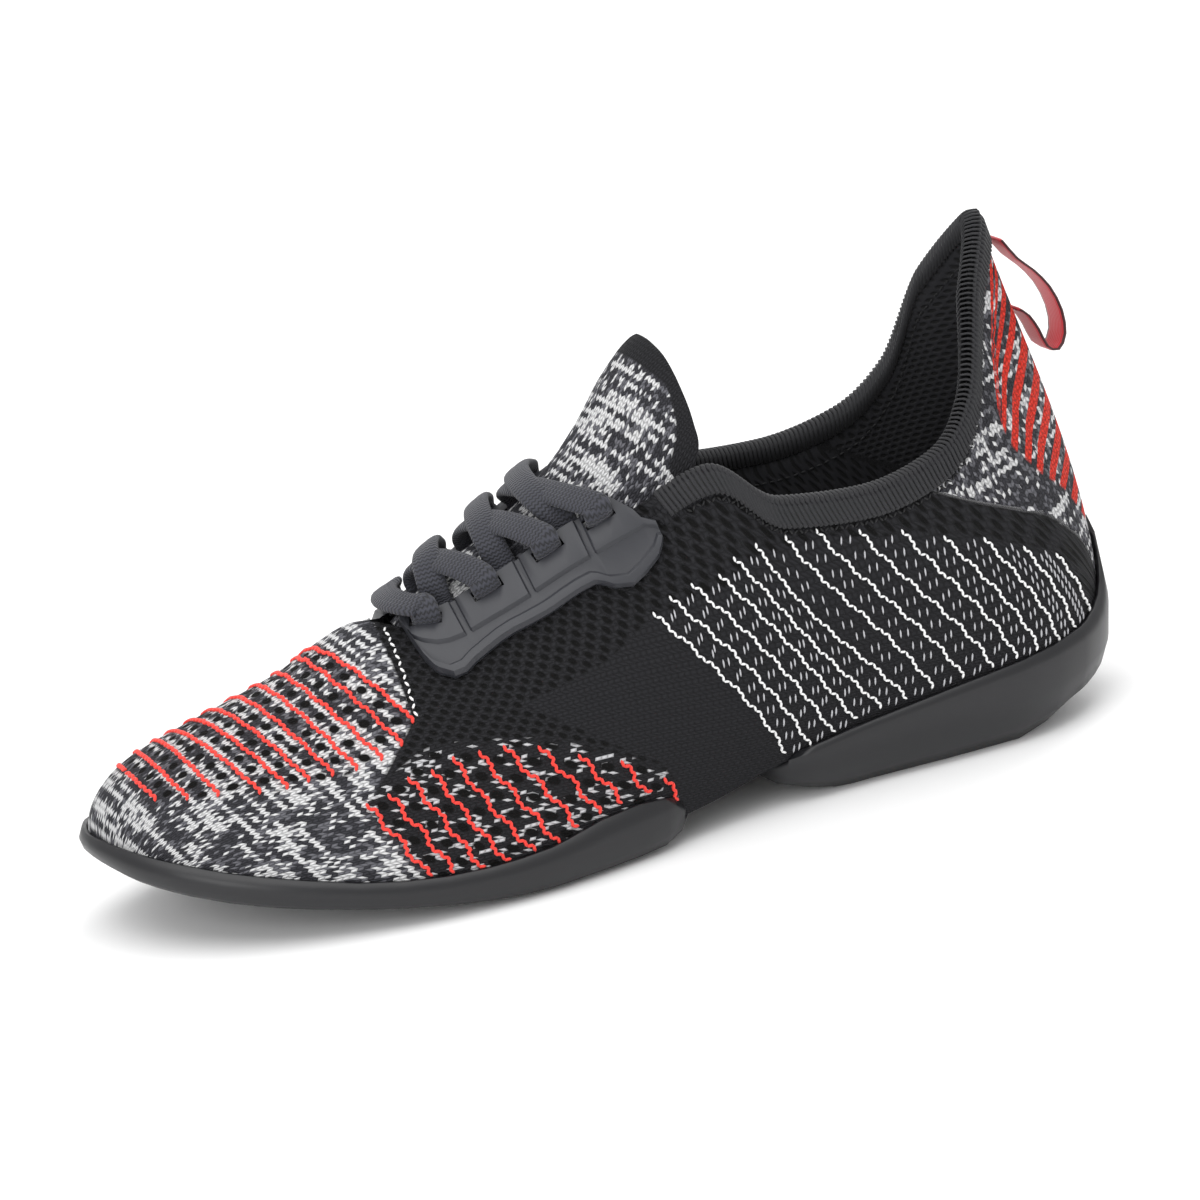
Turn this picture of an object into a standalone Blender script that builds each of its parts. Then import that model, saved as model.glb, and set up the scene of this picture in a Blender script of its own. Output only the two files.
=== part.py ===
"""A left dance sneaker with a knitted upper and a split sole.

The toe points along -X, the outer side of the foot is at -Y, and +Z is up.
Everything is in metres. The shoe stands on the floor at z = 0.
"""

import math

import bmesh
import bpy
import numpy as np

# Driving sizes of the shoe
LENGTH = 0.272
BALL_WIDTH = 0.0917
COLLAR_HEIGHT = 0.128
HEEL_STACK = 0.0195

# Walls and clearances
CLEARANCE = 0.0004
WELD = 0.00002
KNIT_WALL = 0.0020
PADDED_WALL = 0.0042
LASTING_MARGIN = 0.010
EDGING_HEIGHT = 0.0070
EDGING_STEP = 0.0010
EDGING_ROUND = 0.0012

# Sole pads
SOLE_LIP = 0.0015
SOLE_FLARE = 0.0024
SOLE_FOOT_INSET = 0.0045
SOLE_CORNER = 0.011
SOLE_REACH = 0.006

# Insole
INSOLE_THICKNESS = 0.0030
INSOLE_INSET = 0.0036

# Tongue
TONGUE_THICKNESS = 0.0024
TONGUE_TUCK = 0.0060
TONGUE_GAP = 0.0014

# Lace stay
STAY_BASE = 0.0014
STAY_RAISED = 0.0024
STAY_GAP = 0.0004
STAY_DEPTH = 0.0150
LUG_DEPTH = 0.0050
LUG_OVERHANG = 0.0050
RIM_WIDTH = 0.0026
GROOVE_SIDE = 0.0008
SLOT_LENGTH = 0.0080
SLOT_HEIGHT = 0.0030

# Laces
LACE_WIDTH = 0.0072
LACE_THICKNESS = 0.0024
LACE_LIFT = STAY_GAP + STAY_RAISED + CLEARANCE + 0.95 * LACE_THICKNESS

# Pull loop
LOOP_WIDTH = 0.0095
LOOP_THICKNESS = 0.0009

HALF_BALL = BALL_WIDTH / 2
LATERAL, MEDIAL = -1, 1

# Sections of the upper, from the toe round each side to the heel.
# foot_x, top_x: shares of LENGTH. foot_lateral, foot_medial, ridge, gap: shares
# of half the ball width. top_z: share of COLLAR_HEIGHT. lean, turn: degrees from
# upright at the foot and at the top. low, high: pull of the section's ends, as
# shares of its chord.
UPPER_COLUMNS = (
    "foot_x", "foot_lateral", "foot_medial",
    "top_x", "ridge", "gap", "top_z",
    "lean", "low", "turn", "high",
)
UPPER_ROWS = (
    (0.0108, -0.191, 0.191, 0.0932, 0.128, 0.000, 0.340, 4, 0.34, 70, 0.52),
    (0.0233, 0.128, 0.447, 0.0986, 0.128, 0.000, 0.345, 5, 0.34, 78, 0.46),
    (0.0609, 0.447, 0.660, 0.1129, 0.117, 0.000, 0.356, 6, 0.34, 86, 0.36),
    (0.1183, 0.681, 0.830, 0.1470, 0.096, 0.000, 0.379, 7, 0.34, 88, 0.30),
    (0.1900, 0.830, 0.915, 0.2007, 0.064, 0.000, 0.417, 8, 0.32, 89, 0.28),
    (0.2652, 0.926, 0.947, 0.2760, 0.032, 0.000, 0.485, 9, 0.32, 86, 0.27),
    (0.3369, 0.957, 0.894, 0.3226, 0.000, 0.234, 0.466, 10, 0.32, 58, 0.30),
    (0.4122, 0.904, 0.777, 0.3835, 0.000, 0.330, 0.511, 10, 0.32, 52, 0.32),
    (0.4875, 0.809, 0.649, 0.4444, 0.000, 0.404, 0.573, 11, 0.32, 46, 0.32),
    (0.5627, 0.713, 0.564, 0.5125, 0.000, 0.457, 0.629, 12, 0.32, 36, 0.32),
    (0.6308, 0.660, 0.553, 0.5789, 0.000, 0.549, 0.685, 12, 0.33, 20, 0.32),
    (0.7025, 0.638, 0.574, 0.6380, 0.000, 0.643, 0.597, 11, 0.34, 3, 0.32),
    (0.7778, 0.649, 0.628, 0.7204, 0.000, 0.681, 0.582, 9, 0.34, 2, 0.34),
    (0.8566, 0.638, 0.638, 0.7957, 0.000, 0.634, 0.614, 8, 0.34, 6, 0.34),
    (0.9176, 0.532, 0.532, 0.8405, 0.000, 0.517, 0.698, 7, 0.34, 12, 0.36),
    (0.9677, 0.287, 0.287, 0.8738, 0.000, 0.309, 0.885, 5, 0.34, 13, 0.36),
    (0.9875, 0.000, 0.000, 0.9090, 0.000, 0.000, 1.000, 4, 0.34, 13, 0.36),
)
# Rows of the upper between which the collar's edging begins
EDGING_FROM = (9.20, 9.60)

# Underside of the upper: share of LENGTH, share of HEEL_STACK
BED_ROWS = (
    (0.000, 1.250),
    (0.020, 1.050),
    (0.050, 0.895),
    (0.075, 0.800),
    (0.108, 0.680),
    (0.140, 0.590),
    (0.194, 0.440),
    (0.244, 0.345),
    (0.301, 0.295),
    (0.358, 0.290),
    (0.448, 0.340),
    (0.529, 0.430),
    (0.599, 0.600),
    (0.656, 0.695),
    (0.717, 0.785),
    (0.792, 0.875),
    (0.921, 0.975),
    (1.000, 1.000),
)

# Sole pads, from front to back. station: row of the upper. bottom: share of
# HEEL_STACK. climb: how far the wall climbs the upper, share of HEEL_STACK. round:
# how far the row lies round the pad's cut corner, 0 to 1.
PAD_COLUMNS = ("station", "bottom", "climb", "round")
FOREFOOT_ROWS = (
    (0.00, 0.975, 0.160, 0.00),
    (1.00, 0.850, 0.220, 0.00),
    (2.00, 0.665, 0.250, 0.00),
    (3.00, 0.470, 0.250, 0.00),
    (4.00, 0.280, 0.225, 0.00),
    (5.00, 0.120, 0.235, 0.00),
    (5.90, 0.015, 0.270, 0.00),
    (6.30, 0.000, 0.300, 0.00),
    (7.00, 0.000, 0.420, 0.00),
    (7.50, 0.000, 0.430, 0.00),
    (7.85, 0.020, 0.370, 0.00),
    (8.12, 0.110, 0.280, 0.55),
    (8.26, 0.220, 0.230, 0.85),
    (8.32, 0.330, 0.200, 1.00),
)
HEEL_ROWS = (
    (9.42, 0.520, 0.090, 1.00),
    (9.50, 0.390, 0.090, 0.85),
    (9.71, 0.250, 0.095, 0.55),
    (10.10, 0.120, 0.100, 0.00),
    (10.70, 0.000, 0.110, 0.00),
    (11.40, 0.000, 0.130, 0.00),
    (12.20, 0.000, 0.165, 0.00),
    (12.95, 0.000, 0.200, 0.00),
    (13.50, 0.100, 0.230, 0.00),
    (14.10, 0.230, 0.280, 0.00),
    (15.00, 0.450, 0.600, 0.00),
    (16.00, 0.575, 1.275, 0.00),
)

# Tongue, from its root to its tip. station: row of the upper whose throat edge it
# follows, or 0 where it stands free. x, edge_x: shares of LENGTH. z, edge_z: shares
# of COLLAR_HEIGHT. half: share of half the ball width.
TONGUE_COLUMNS = ("station", "x", "z", "edge_x", "edge_z", "half")
TONGUE_ROWS = (
    (5.8, 0.3011, 0.473, 0.0000, 0.000, 0.000),
    (6.5, 0.3441, 0.536, 0.0000, 0.000, 0.000),
    (7.3, 0.3907, 0.585, 0.0000, 0.000, 0.000),
    (8.1, 0.4337, 0.634, 0.0000, 0.000, 0.000),
    (8.8, 0.4713, 0.698, 0.0000, 0.000, 0.000),
    (9.4, 0.5000, 0.760, 0.0000, 0.000, 0.000),
    (0, 0.5233, 0.817, 0.5789, 0.698, 0.447),
    (0, 0.5430, 0.863, 0.5824, 0.760, 0.394),
    (0, 0.5556, 0.889, 0.5806, 0.824, 0.298),
    (0, 0.5645, 0.903, 0.5771, 0.874, 0.191),
    (0, 0.5692, 0.908, 0.5720, 0.901, 0.085),
)

# Lower outline of the lace stay: row of the upper, share of STAY_DEPTH
STAY_OUTLINE = (
    (5.58, 0.44), (5.63, 0.82), (5.72, 0.97), (5.89, 1.03), (6.12, 0.99), (6.38, 0.84),
    (6.70, 0.75), (7.00, 0.73), (7.53, 0.77), (7.93, 0.75), (8.20, 0.77), (8.36, 0.97),
    (8.54, 1.10), (8.80, 1.02), (9.02, 0.90), (9.12, 0.78), (9.17, 0.66),
)
# Upper outline of the lace stay: row of the upper, share of LUG_OVERHANG
STAY_UPPER = (
    (5.58, 0.10), (5.64, 0.70), (5.72, 1.00), (8.78, 1.00), (8.90, 0.60), (9.02, -0.60),
    (9.17, -1.10),
)
# Rows of the upper where a groove parts two lugs, and the groove's half length
LUG_GROOVES = (6.46, 7.42, 8.30)
GROOVE_HALF = 0.035

# Lace eyelets, from the lowest to the top one: rows of the upper
EYELET_STATIONS = (6.00, 6.92, 7.84, 8.55)
EYELET_OVERHANG = 0.0018
LEG_SHIFT = 0.30
BAR_SHIFT = 0.20

# Height of the bar's and each crossing's lower leg over the tongue, and of the upper
# leg over the lower one: shares of LACE_THICKNESS
BAR_LIFT = 2.6
CROSS_LIFTS = (2.3, 2.0, 1.7)
LEG_LIFT = 0.64

# Pull loop in the centre plane: x and z as shares of LENGTH and COLLAR_HEIGHT,
# measured from the top of the collar's back
LOOP_POINTS = (
    (0.0176, -0.063),
    (0.0312, -0.104),
    (0.0462, -0.134),
    (0.0609, -0.174),
    (0.0706, -0.225),
    (0.0717, -0.273),
    (0.0634, -0.301),
    (0.0527, -0.290),
    (0.0452, -0.252),
    (0.0369, -0.221),
    (0.0287, -0.206),
)


def smooth(xs, ys, x, level_ends=False):
    """A smooth curve through a table's points that never overshoots them."""
    xs, ys = np.asarray(xs, float), np.asarray(ys, float)
    x = np.clip(np.asarray(x, float), xs[0], xs[-1])
    step = np.diff(xs)
    slope = np.diff(ys) / step
    tangent = np.zeros_like(ys)
    for i in range(1, len(ys) - 1):
        if slope[i - 1] * slope[i] > 0:
            tangent[i] = 2 * slope[i - 1] * slope[i] / (slope[i - 1] + slope[i])
    if not level_ends:
        tangent[0], tangent[-1] = slope[0], slope[-1]
    k = np.clip(np.searchsorted(xs, x, side="right") - 1, 0, len(step) - 1)
    h = step[k]
    t = (x - xs[k]) / h
    return (
        ys[k] * (1 + 2 * t) * (1 - t) ** 2
        + tangent[k] * h * t * (1 - t) ** 2
        + ys[k + 1] * t * t * (3 - 2 * t)
        + tangent[k + 1] * h * t * t * (t - 1)
    )


def upper(name, station):
    """A column of the upper's table: it turns round toe and heel without a corner."""
    values = [row[UPPER_COLUMNS.index(name)] for row in UPPER_ROWS]
    across = name in ("foot_lateral", "foot_medial", "gap")
    return smooth(range(len(values)), values, station, level_ends=not across)


LAST_STATION = len(UPPER_ROWS) - 1


def to_frame(x_share):
    """Shares of the length, from the toe, to x."""
    return (x_share - 0.5) * LENGTH


def bed_height(x_share):
    xs, zs = zip(*BED_ROWS)
    return smooth(xs, zs, x_share) * HEEL_STACK


def foot_point(side, station):
    """The point of the upper's bottom edge."""
    share = upper("foot_x", station)
    name = "foot_lateral" if side == LATERAL else "foot_medial"
    y = side * upper(name, station) * HALF_BALL
    return np.stack([to_frame(share), y, bed_height(share)], -1)


def outward(side, station):
    """The level direction that points out of the shoe at its bottom edge."""
    station = np.asarray(station, float)
    a = foot_point(side, np.clip(station - 0.15, 0, LAST_STATION))
    b = foot_point(side, np.clip(station + 0.15, 0, LAST_STATION))
    along = b - a
    out = np.stack([-side * along[..., 1], side * along[..., 0], 0 * along[..., 0]], -1)
    at_toe, at_heel = station <= 0, station >= LAST_STATION
    out[..., 0] = np.where(at_toe, -1.0, np.where(at_heel, 1.0, out[..., 0]))
    out[..., 1] = np.where(at_toe | at_heel, 0.0, out[..., 1])
    return out / np.linalg.norm(out, axis=-1, keepdims=True)


def top_point(side, station):
    """The point of the throat edge or collar, or of the ridge over the toes."""
    x = to_frame(upper("top_x", station))
    y = (upper("ridge", station) + side * upper("gap", station)) * HALF_BALL
    return np.stack([x, y, upper("top_z", station) * COLLAR_HEIGHT], -1)


def surface(side, station, rise):
    """A point of the upper's outer face: rise is 0 at the foot and 1 at the top."""
    station, rise = np.broadcast_arrays(np.asarray(station, float), np.asarray(rise, float))
    foot, top = foot_point(side, station), top_point(side, station)
    out = outward(side, station)
    chord = np.linalg.norm(top - foot, axis=-1)[..., None]
    lean = np.radians(upper("lean", station))[..., None]
    turn = np.radians(upper("turn", station))[..., None]
    up = np.array([0, 0, 1.0])
    blend = np.clip(station / 2, 0, 1)[..., None]
    at_end = np.clip(LAST_STATION - station, 0, 1)[..., None]
    across = np.zeros_like(out)
    across[..., 1] = side
    square = out * (1 - blend) + across * blend
    square = out * (1 - at_end) + square * at_end
    square /= np.linalg.norm(square, axis=-1, keepdims=True)
    low = foot + chord * upper("low", station)[..., None] * (
        out * np.sin(lean) + up * np.cos(lean)
    )
    high = top + chord * upper("high", station)[..., None] * (
        square * np.sin(turn) - up * np.cos(turn)
    )
    t = rise[..., None]
    return (
        foot * (1 - t) ** 3
        + low * 3 * t * (1 - t) ** 2
        + high * 3 * t * t * (1 - t)
        + top * t**3
    )


def tilt(side, station, rise):
    """The unit normal of one side's face, pointing out."""
    u = np.clip(station, 0.04, LAST_STATION - 0.04)
    v = np.clip(rise, 0.02, 0.97)
    along = surface(side, u + 0.03, v) - surface(side, u - 0.03, v)
    rising = surface(side, u, v + 0.01) - surface(side, u, v - 0.01)
    n = np.cross(along, rising) * -side
    return n / np.linalg.norm(n, axis=-1, keepdims=True)


def normal(side, station, rise):
    """The unit normal of the upper's outer face, the same for both sides at its ends."""
    station, rise = np.broadcast_arrays(np.asarray(station, float), np.asarray(rise, float))
    n = tilt(side, station, rise)
    both = (tilt(LATERAL, station, rise) + tilt(MEDIAL, station, rise)) * [1, 0, 1]
    on_seam = (station <= 0) | (station >= LAST_STATION)
    n = np.where(on_seam[..., None], both, n)
    return n / np.linalg.norm(n, axis=-1, keepdims=True)


def skin(side, station, rise, offset=0.0):
    """The upper's outer face, moved out by an offset."""
    offset = np.asarray(offset, float)[..., None]
    return surface(side, station, rise) + normal(side, station, rise) * offset


def rise_below_top(side, station, depth):
    """The rise of the point that lies a given depth below the top edge."""
    rises = np.linspace(0, 1, 41)
    points = surface(side, station, rises)
    steps = np.linalg.norm(np.diff(points, axis=0), axis=1)
    from_top = np.concatenate([[0], np.cumsum(steps[::-1])])
    return np.interp(depth, from_top, rises[::-1])


def rise_above_foot(side, station, climb):
    """The rise of the point that lies a given climb above the foot."""
    rises = np.linspace(0, 1, 41)
    points = surface(side, station, rises)
    steps = np.linalg.norm(np.diff(points, axis=0), axis=1)
    return np.interp(climb, np.concatenate([[0], np.cumsum(steps)]), rises)


def over_edge(side, station, depth, offset):
    """A point at a depth below the top edge, or past the edge where it is negative."""
    if depth >= 0:
        return skin(side, station, rise_below_top(side, station, depth), offset)
    last = surface(side, station, 1.0) - surface(side, station, 0.97)
    last /= np.linalg.norm(last)
    return skin(side, station, 1.0, offset) - last * depth


def edging_share(station):
    """1 round the collar, where an edging is sewn on, and 0 under the lace stay."""
    first, last = EDGING_FROM
    return float(np.clip((station - first) / (last - first), 0, 1))


def wall_share(station, rise):
    """The wall's thickness as a share of the padded wall."""
    thin = KNIT_WALL / PADDED_WALL
    pad = np.clip((station - 9.3) / 1.5, 0, 1) * np.clip((rise - 0.35) / 0.3, 0, 1)
    return float(thin + (1 - thin) * pad)


def link(mesh_object, collection):
    bpy.data.collections[collection].objects.link(mesh_object)
    return mesh_object


def mesh_from_rows(name, rows, collection="dance_sneaker", closed=False, skip=None, ends=False):
    """A skin over rows of points. Points that coincide are welded."""
    index, points, faces = {}, [], []

    def vertex(p):
        key = tuple(int(round(c * 2e6)) for c in p)
        if key not in index:
            index[key] = len(points)
            points.append([float(c) for c in p])
        return index[key]

    ids = [[vertex(p) for p in row] for row in rows]
    width = len(ids[0])
    for i in range(len(ids) - 1):
        for j in range(width if closed else width - 1):
            if skip and skip(i, j):
                continue
            k = (j + 1) % width
            corners = []
            for v in (ids[i][j], ids[i][k], ids[i + 1][k], ids[i + 1][j]):
                if v not in corners:
                    corners.append(v)
            if len(corners) > 2:
                faces.append(corners)
    if ends:
        for row, turn in ((ids[0], -1), (ids[-1], 1)):
            ring = list(dict.fromkeys(row))
            if len(ring) > 0.7 * len(row):
                faces.append(ring[::turn])
    mesh = bpy.data.meshes.new(name)
    mesh.from_pydata(points, [], faces)
    mesh.validate()
    made = bpy.data.objects.new(name, mesh)
    return link(made, collection)


def face_outwards(item):
    """Turns a closed mesh's faces to point out."""
    work = bmesh.new()
    work.from_mesh(item.data)
    bmesh.ops.recalc_face_normals(work, faces=work.faces)
    work.to_mesh(item.data)
    work.free()
    return item


def finish(item, material, smooth_angle=40):
    item.data.materials.append(material)
    item.data.shade_smooth()
    item.data.set_sharp_from_angle(angle=math.radians(smooth_angle))
    return item


def apply_modifiers(item):
    """Replaces an object's mesh by its evaluated one."""
    graph = bpy.context.evaluated_depsgraph_get()
    made = bpy.data.meshes.new_from_object(item.evaluated_get(graph))
    item.modifiers.clear()
    item.data = made
    return item


def boolean(item, other, operation):
    cut = item.modifiers.new(operation.lower(), "BOOLEAN")
    cut.operation = operation
    cut.solver = "EXACT"
    cut.object = other
    apply_modifiers(item)
    work = bmesh.new()
    work.from_mesh(item.data)
    bmesh.ops.remove_doubles(work, verts=work.verts, dist=WELD)
    bmesh.ops.dissolve_degenerate(work, edges=work.edges, dist=WELD)
    work.to_mesh(item.data)
    work.free()
    return item


def hide_cutter(item):
    item.hide_render = True
    item.display_type = "WIRE"
    return item


def material(name, colour, roughness, metallic=0.0):
    made = bpy.data.materials.new(name)
    made.use_nodes = True
    shader = made.node_tree.nodes["Principled BSDF"]
    shader.inputs["Base Color"].default_value = (*colour, 1)
    shader.inputs["Roughness"].default_value = roughness
    shader.inputs["Metallic"].default_value = metallic
    return made


def fine_stations():
    """Stations between the table's rows, closer where toe and heel turn fast."""
    steps = [0.0]
    while steps[-1] < LAST_STATION - 1e-6:
        at = steps[-1]
        steps.append(at + (0.25 if at < 1.99 or at > LAST_STATION - 2.01 else 0.5))
    return np.array(steps)


def wall_section(side, station, steps, offset=0.0):
    """Points of one side of the upper, from its top edge down to its foot."""
    share = edging_share(station)
    chord = np.linalg.norm(top_point(side, station) - foot_point(side, station))
    depths = [0, EDGING_ROUND, EDGING_HEIGHT - EDGING_ROUND, EDGING_HEIGHT]
    step_out = [0.3 * EDGING_STEP, EDGING_STEP, EDGING_STEP, 0]
    points = []
    for depth, extra in zip(depths, step_out):
        depth = min(depth, 0.6 * chord)
        rise = rise_below_top(side, station, depth)
        points.append(skin(side, station, rise, offset + extra * share))
    last_rise = rise_below_top(side, station, min(EDGING_HEIGHT, 0.6 * chord))
    for k in range(1, steps + 1):
        points.append(skin(side, station, last_rise * (1 - k / steps), offset if k < steps else 0))
    if offset:
        foot = foot_point(side, station)
        points[-1] = foot + outward(side, station) * offset - np.array([0, 0, offset])
    return points


def make_upper(knit):
    """The knitted upper: one shell, open at collar and throat and over the pads."""
    stations = fine_stations()
    steps = 6
    rows = []
    for station in stations:
        lateral = wall_section(LATERAL, station, steps)
        medial = wall_section(MEDIAL, station, steps)
        a, b = lateral[-1], medial[-1]
        width = max(np.linalg.norm(b - a), 1e-9)
        margin = min(0.46, LASTING_MARGIN / width)
        floor = [a + (b - a) * s for s in (margin, 0.5, 1 - margin)]
        rows.append(lateral + floor + medial[::-1])
    first = len(wall_section(LATERAL, 0, steps))
    forefoot_end = FOREFOOT_ROWS[-4][0] - 0.3
    heel_front = HEEL_ROWS[3][0] + 0.3

    def over_pad(i, j):
        on_pad = 1.5 <= stations[i] and stations[i + 1] < forefoot_end
        on_pad = on_pad or (stations[i] > heel_front and stations[i + 1] <= 15)
        return on_pad and j in (first, first + 1)

    shell = mesh_from_rows("upper", rows, skip=over_pad)
    group = shell.vertex_groups.new(name="wall")
    weights = {}
    for station, row in zip(stations, rows):
        count = len(row)
        for j, p in enumerate(row):
            depth_index = min(j, count - 1 - j)
            rise = max(0.0, 1 - max(0, depth_index - 3) / steps)
            key = tuple(int(round(c * 2e6)) for c in p)
            weights[key] = max(weights.get(key, 0), wall_share(station, rise if depth_index < 10 else 0))
    for v in shell.data.vertices:
        key = tuple(int(round(c * 2e6)) for c in v.co)
        group.add([v.index], weights.get(key, KNIT_WALL / PADDED_WALL), "REPLACE")
    wall = shell.modifiers.new("wall", "SOLIDIFY")
    wall.thickness = PADDED_WALL
    wall.vertex_group = "wall"
    wall.offset = -1
    wall.use_even_offset = True
    return finish(shell, knit)


def make_last():
    """A filled form of the upper's outside plus the clearance, to cut the pads with."""
    rows = []
    for station in fine_stations():
        lateral = wall_section(LATERAL, station, 6, CLEARANCE)[2:]
        medial = wall_section(MEDIAL, station, 6, CLEARANCE)[2:]
        rows.append(lateral + medial[::-1])
    last = mesh_from_rows("last_form", rows, "cutters", closed=True)
    return hide_cutter(face_outwards(last))


def pad_section(station, bottom, climb, rounding):
    """One closed section of a sole pad, in order round the section."""
    floor = bottom * HEEL_STACK
    shrink = SOLE_CORNER * (1 - math.sqrt(max(0.0, 1 - rounding**2)))
    halves = []
    for side in (LATERAL, MEDIAL):
        foot, out = foot_point(side, station), outward(side, station)
        drop = foot[2] - floor
        top_rise = rise_above_foot(side, station, climb * HEEL_STACK)
        pull = np.array([0, -side * shrink, 0])
        outer_top = skin(side, station, top_rise, SOLE_LIP)
        flare = skin(side, station, 0.35 * top_rise, SOLE_FLARE)
        belly = foot + out * SOLE_FLARE * 0.75 - np.array([0, 0, 0.35 * drop])
        edge = foot + out * SOLE_FLARE * 0.1 - np.array([0, 0, 0.75 * drop])
        inset = min(SOLE_FOOT_INSET, 0.55 * drop + 0.001)
        sole = foot - out * inset - np.array([0, 0, drop])
        halves.append([p + pull for p in (outer_top, flare, belly, edge, sole)])
    lateral, medial = halves
    middle = (lateral[-1] + medial[-1]) / 2
    top = (lateral[0] + medial[0]) / 2
    reach = min(0.5, SOLE_REACH / max(np.linalg.norm(top - lateral[0]), 1e-9))
    lateral = [lateral[0] + (top - lateral[0]) * reach] + lateral
    medial = [medial[0] + (top - medial[0]) * reach] + medial
    return lateral + [middle] + medial[::-1] + [top]


def make_pad(name, pad_rows, last, rubber):
    """A sole pad: a loft of sections, hollowed by the upper that sits in it."""
    keys = [row[0] for row in pad_rows]
    stations = {s for s in fine_stations() if min(abs(s - k) for k in keys) > 0.12}
    stations = sorted({s for s in stations if keys[0] < s < keys[-1]} | set(keys))
    sections = []
    for station in stations:
        values = [smooth(keys, [row[c] for row in pad_rows], station) for c in (1, 2, 3)]
        sections.append(pad_section(station, *[float(v) for v in values]))
    pad = mesh_from_rows(name, sections, closed=True, ends=True)
    face_outwards(pad)
    boolean(pad, last, "DIFFERENCE")
    return finish(pad, rubber, 50)


def make_insole(fabric):
    """The footbed, which lies on the upper's turned-in margin."""
    rows = []
    for station in fine_stations()[1:-1]:
        points = []
        for side in (LATERAL, MEDIAL):
            foot, out = foot_point(side, station), outward(side, station)
            rim = foot - out * INSOLE_INSET
            rim[2] = foot[2] + KNIT_WALL + CLEARANCE
            lid = rim + np.array([0, 0, INSOLE_THICKNESS])
            points.append((rim, lid))
        (a, b), (c, d) = points
        if (c[1] - a[1]) < 0.004:
            continue
        rows.append([b, a, c, d])
    insole = mesh_from_rows("insole", rows, closed=True, ends=True)
    return finish(face_outwards(insole), fabric)


def tongue_row(values, steps=4):
    """Points of the tongue's outer face along one row, from edge to edge."""
    station, x, z, edge_x, edge_z, half = values
    middle = np.array([to_frame(x), 0, z * COLLAR_HEIGHT])
    if station:
        wall = PADDED_WALL * wall_share(station, 1.0)
        gap = wall + TONGUE_GAP
        edge = over_edge(LATERAL, station, TONGUE_TUCK, -gap)
        shoulder = over_edge(LATERAL, station, 0.0, -gap)
        medial_edge = over_edge(MEDIAL, station, TONGUE_TUCK, -gap)
        medial_shoulder = over_edge(MEDIAL, station, 0.0, -gap)
    else:
        edge = np.array([to_frame(edge_x), -half * HALF_BALL, edge_z * COLLAR_HEIGHT])
        shoulder = edge * 0.55 + middle * 0.45
        shoulder[1] = edge[1] * 0.82
        medial_edge, medial_shoulder = edge * [1, -1, 1], shoulder * [1, -1, 1]
    row = []
    for rim, knee, toward in ((edge, shoulder, 1), (medial_edge, medial_shoulder, -1)):
        half_row = [rim]
        for k in range(steps + 1):
            t = k / (steps + 1)
            handle = knee + (knee - rim) * 0.35
            crown = middle + (knee - middle) * [0, 0.55, 0]
            half_row.append(
                knee * (1 - t) ** 3 + handle * 3 * t * (1 - t) ** 2
                + crown * 3 * t * t * (1 - t) + middle * t**3
            )
        row.append(half_row)
    return row[0] + [middle] + row[1][::-1]


def make_tongue(knit):
    rows = [tongue_row(values) for values in TONGUE_ROWS]
    fine = []
    for i in range(len(rows) - 1):
        before, a = np.array(rows[max(i - 1, 0)]), np.array(rows[i])
        b, after = np.array(rows[i + 1]), np.array(rows[min(i + 2, len(rows) - 1)])
        for t in (0.0, 0.5):
            fine.append(
                0.5 * (2 * a + (b - before) * t
                       + (2 * before - 5 * a + 4 * b - after) * t * t
                       + (3 * a - before - 3 * b + after) * t**3)
            )
    fine.append(np.array(rows[-1]))
    tongue = mesh_from_rows("tongue", [row[::-1] for row in fine])
    wall = tongue.modifiers.new("wall", "SOLIDIFY")
    wall.thickness = TONGUE_THICKNESS
    wall.offset = -1
    wall.use_even_offset = False
    return finish(tongue, knit)


def strap(name, path, across, width, thickness, collection="dance_sneaker", corners=8):
    """A flat round-edged band along a path: across gives its width's direction."""
    path, across = np.array(path), np.array(across)
    along = np.gradient(path, axis=0)
    along /= np.linalg.norm(along, axis=1, keepdims=True)
    rows = []
    for p, t, a in zip(path, along, across):
        a = a - t * (a @ t)
        a /= np.linalg.norm(a)
        n = np.cross(t, a)
        ring = []
        for k in range(corners):
            angle = 2 * math.pi * (k + 0.5) / corners
            c, s = math.cos(angle), math.sin(angle)
            flat = math.copysign(abs(c) ** 0.55, c)
            ring.append(p + a * flat * width / 2 + n * s * thickness / 2)
        rows.append(ring)
    made = mesh_from_rows(name, rows, collection, closed=True, ends=True)
    return face_outwards(made)


def stay_ring(side, station):
    """One closed section across the lace stay: lug, groove, raised rim, back face."""
    low = STAY_DEPTH * np.interp(station, *zip(*STAY_OUTLINE))
    up = -LUG_OVERHANG * np.interp(station, *zip(*STAY_UPPER))
    in_groove = any(abs(station - g) < GROOVE_HALF for g in LUG_GROOVES)
    lug = STAY_BASE if in_groove else STAY_RAISED
    rim = low - RIM_WIDTH - GROOVE_SIDE
    lug_end = min(LUG_DEPTH, rim - 2 * GROOVE_SIDE)
    lug_end = max(lug_end, up + 2 * GROOVE_SIDE)
    rim = max(rim, lug_end + 2 * GROOVE_SIDE)
    low = max(low, rim + 2 * GROOVE_SIDE)
    profile = (
        (up, 0.55 * lug), (up + 0.0005, lug), (lug_end, lug),
        (lug_end + GROOVE_SIDE, STAY_BASE), (rim, STAY_BASE),
        (rim + GROOVE_SIDE, STAY_RAISED), (low - GROOVE_SIDE, STAY_RAISED),
        (low, 0.5 * STAY_RAISED),
    )
    inner = [(low + (max(up, 0.0) - low) * t, 0.0) for t in (0, 0.2, 0.4, 0.6, 0.8, 1)]
    profile += tuple(inner) + ((up, 0.0),)
    return [over_edge(side, station, d, STAY_GAP + h) for d, h in profile]


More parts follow.
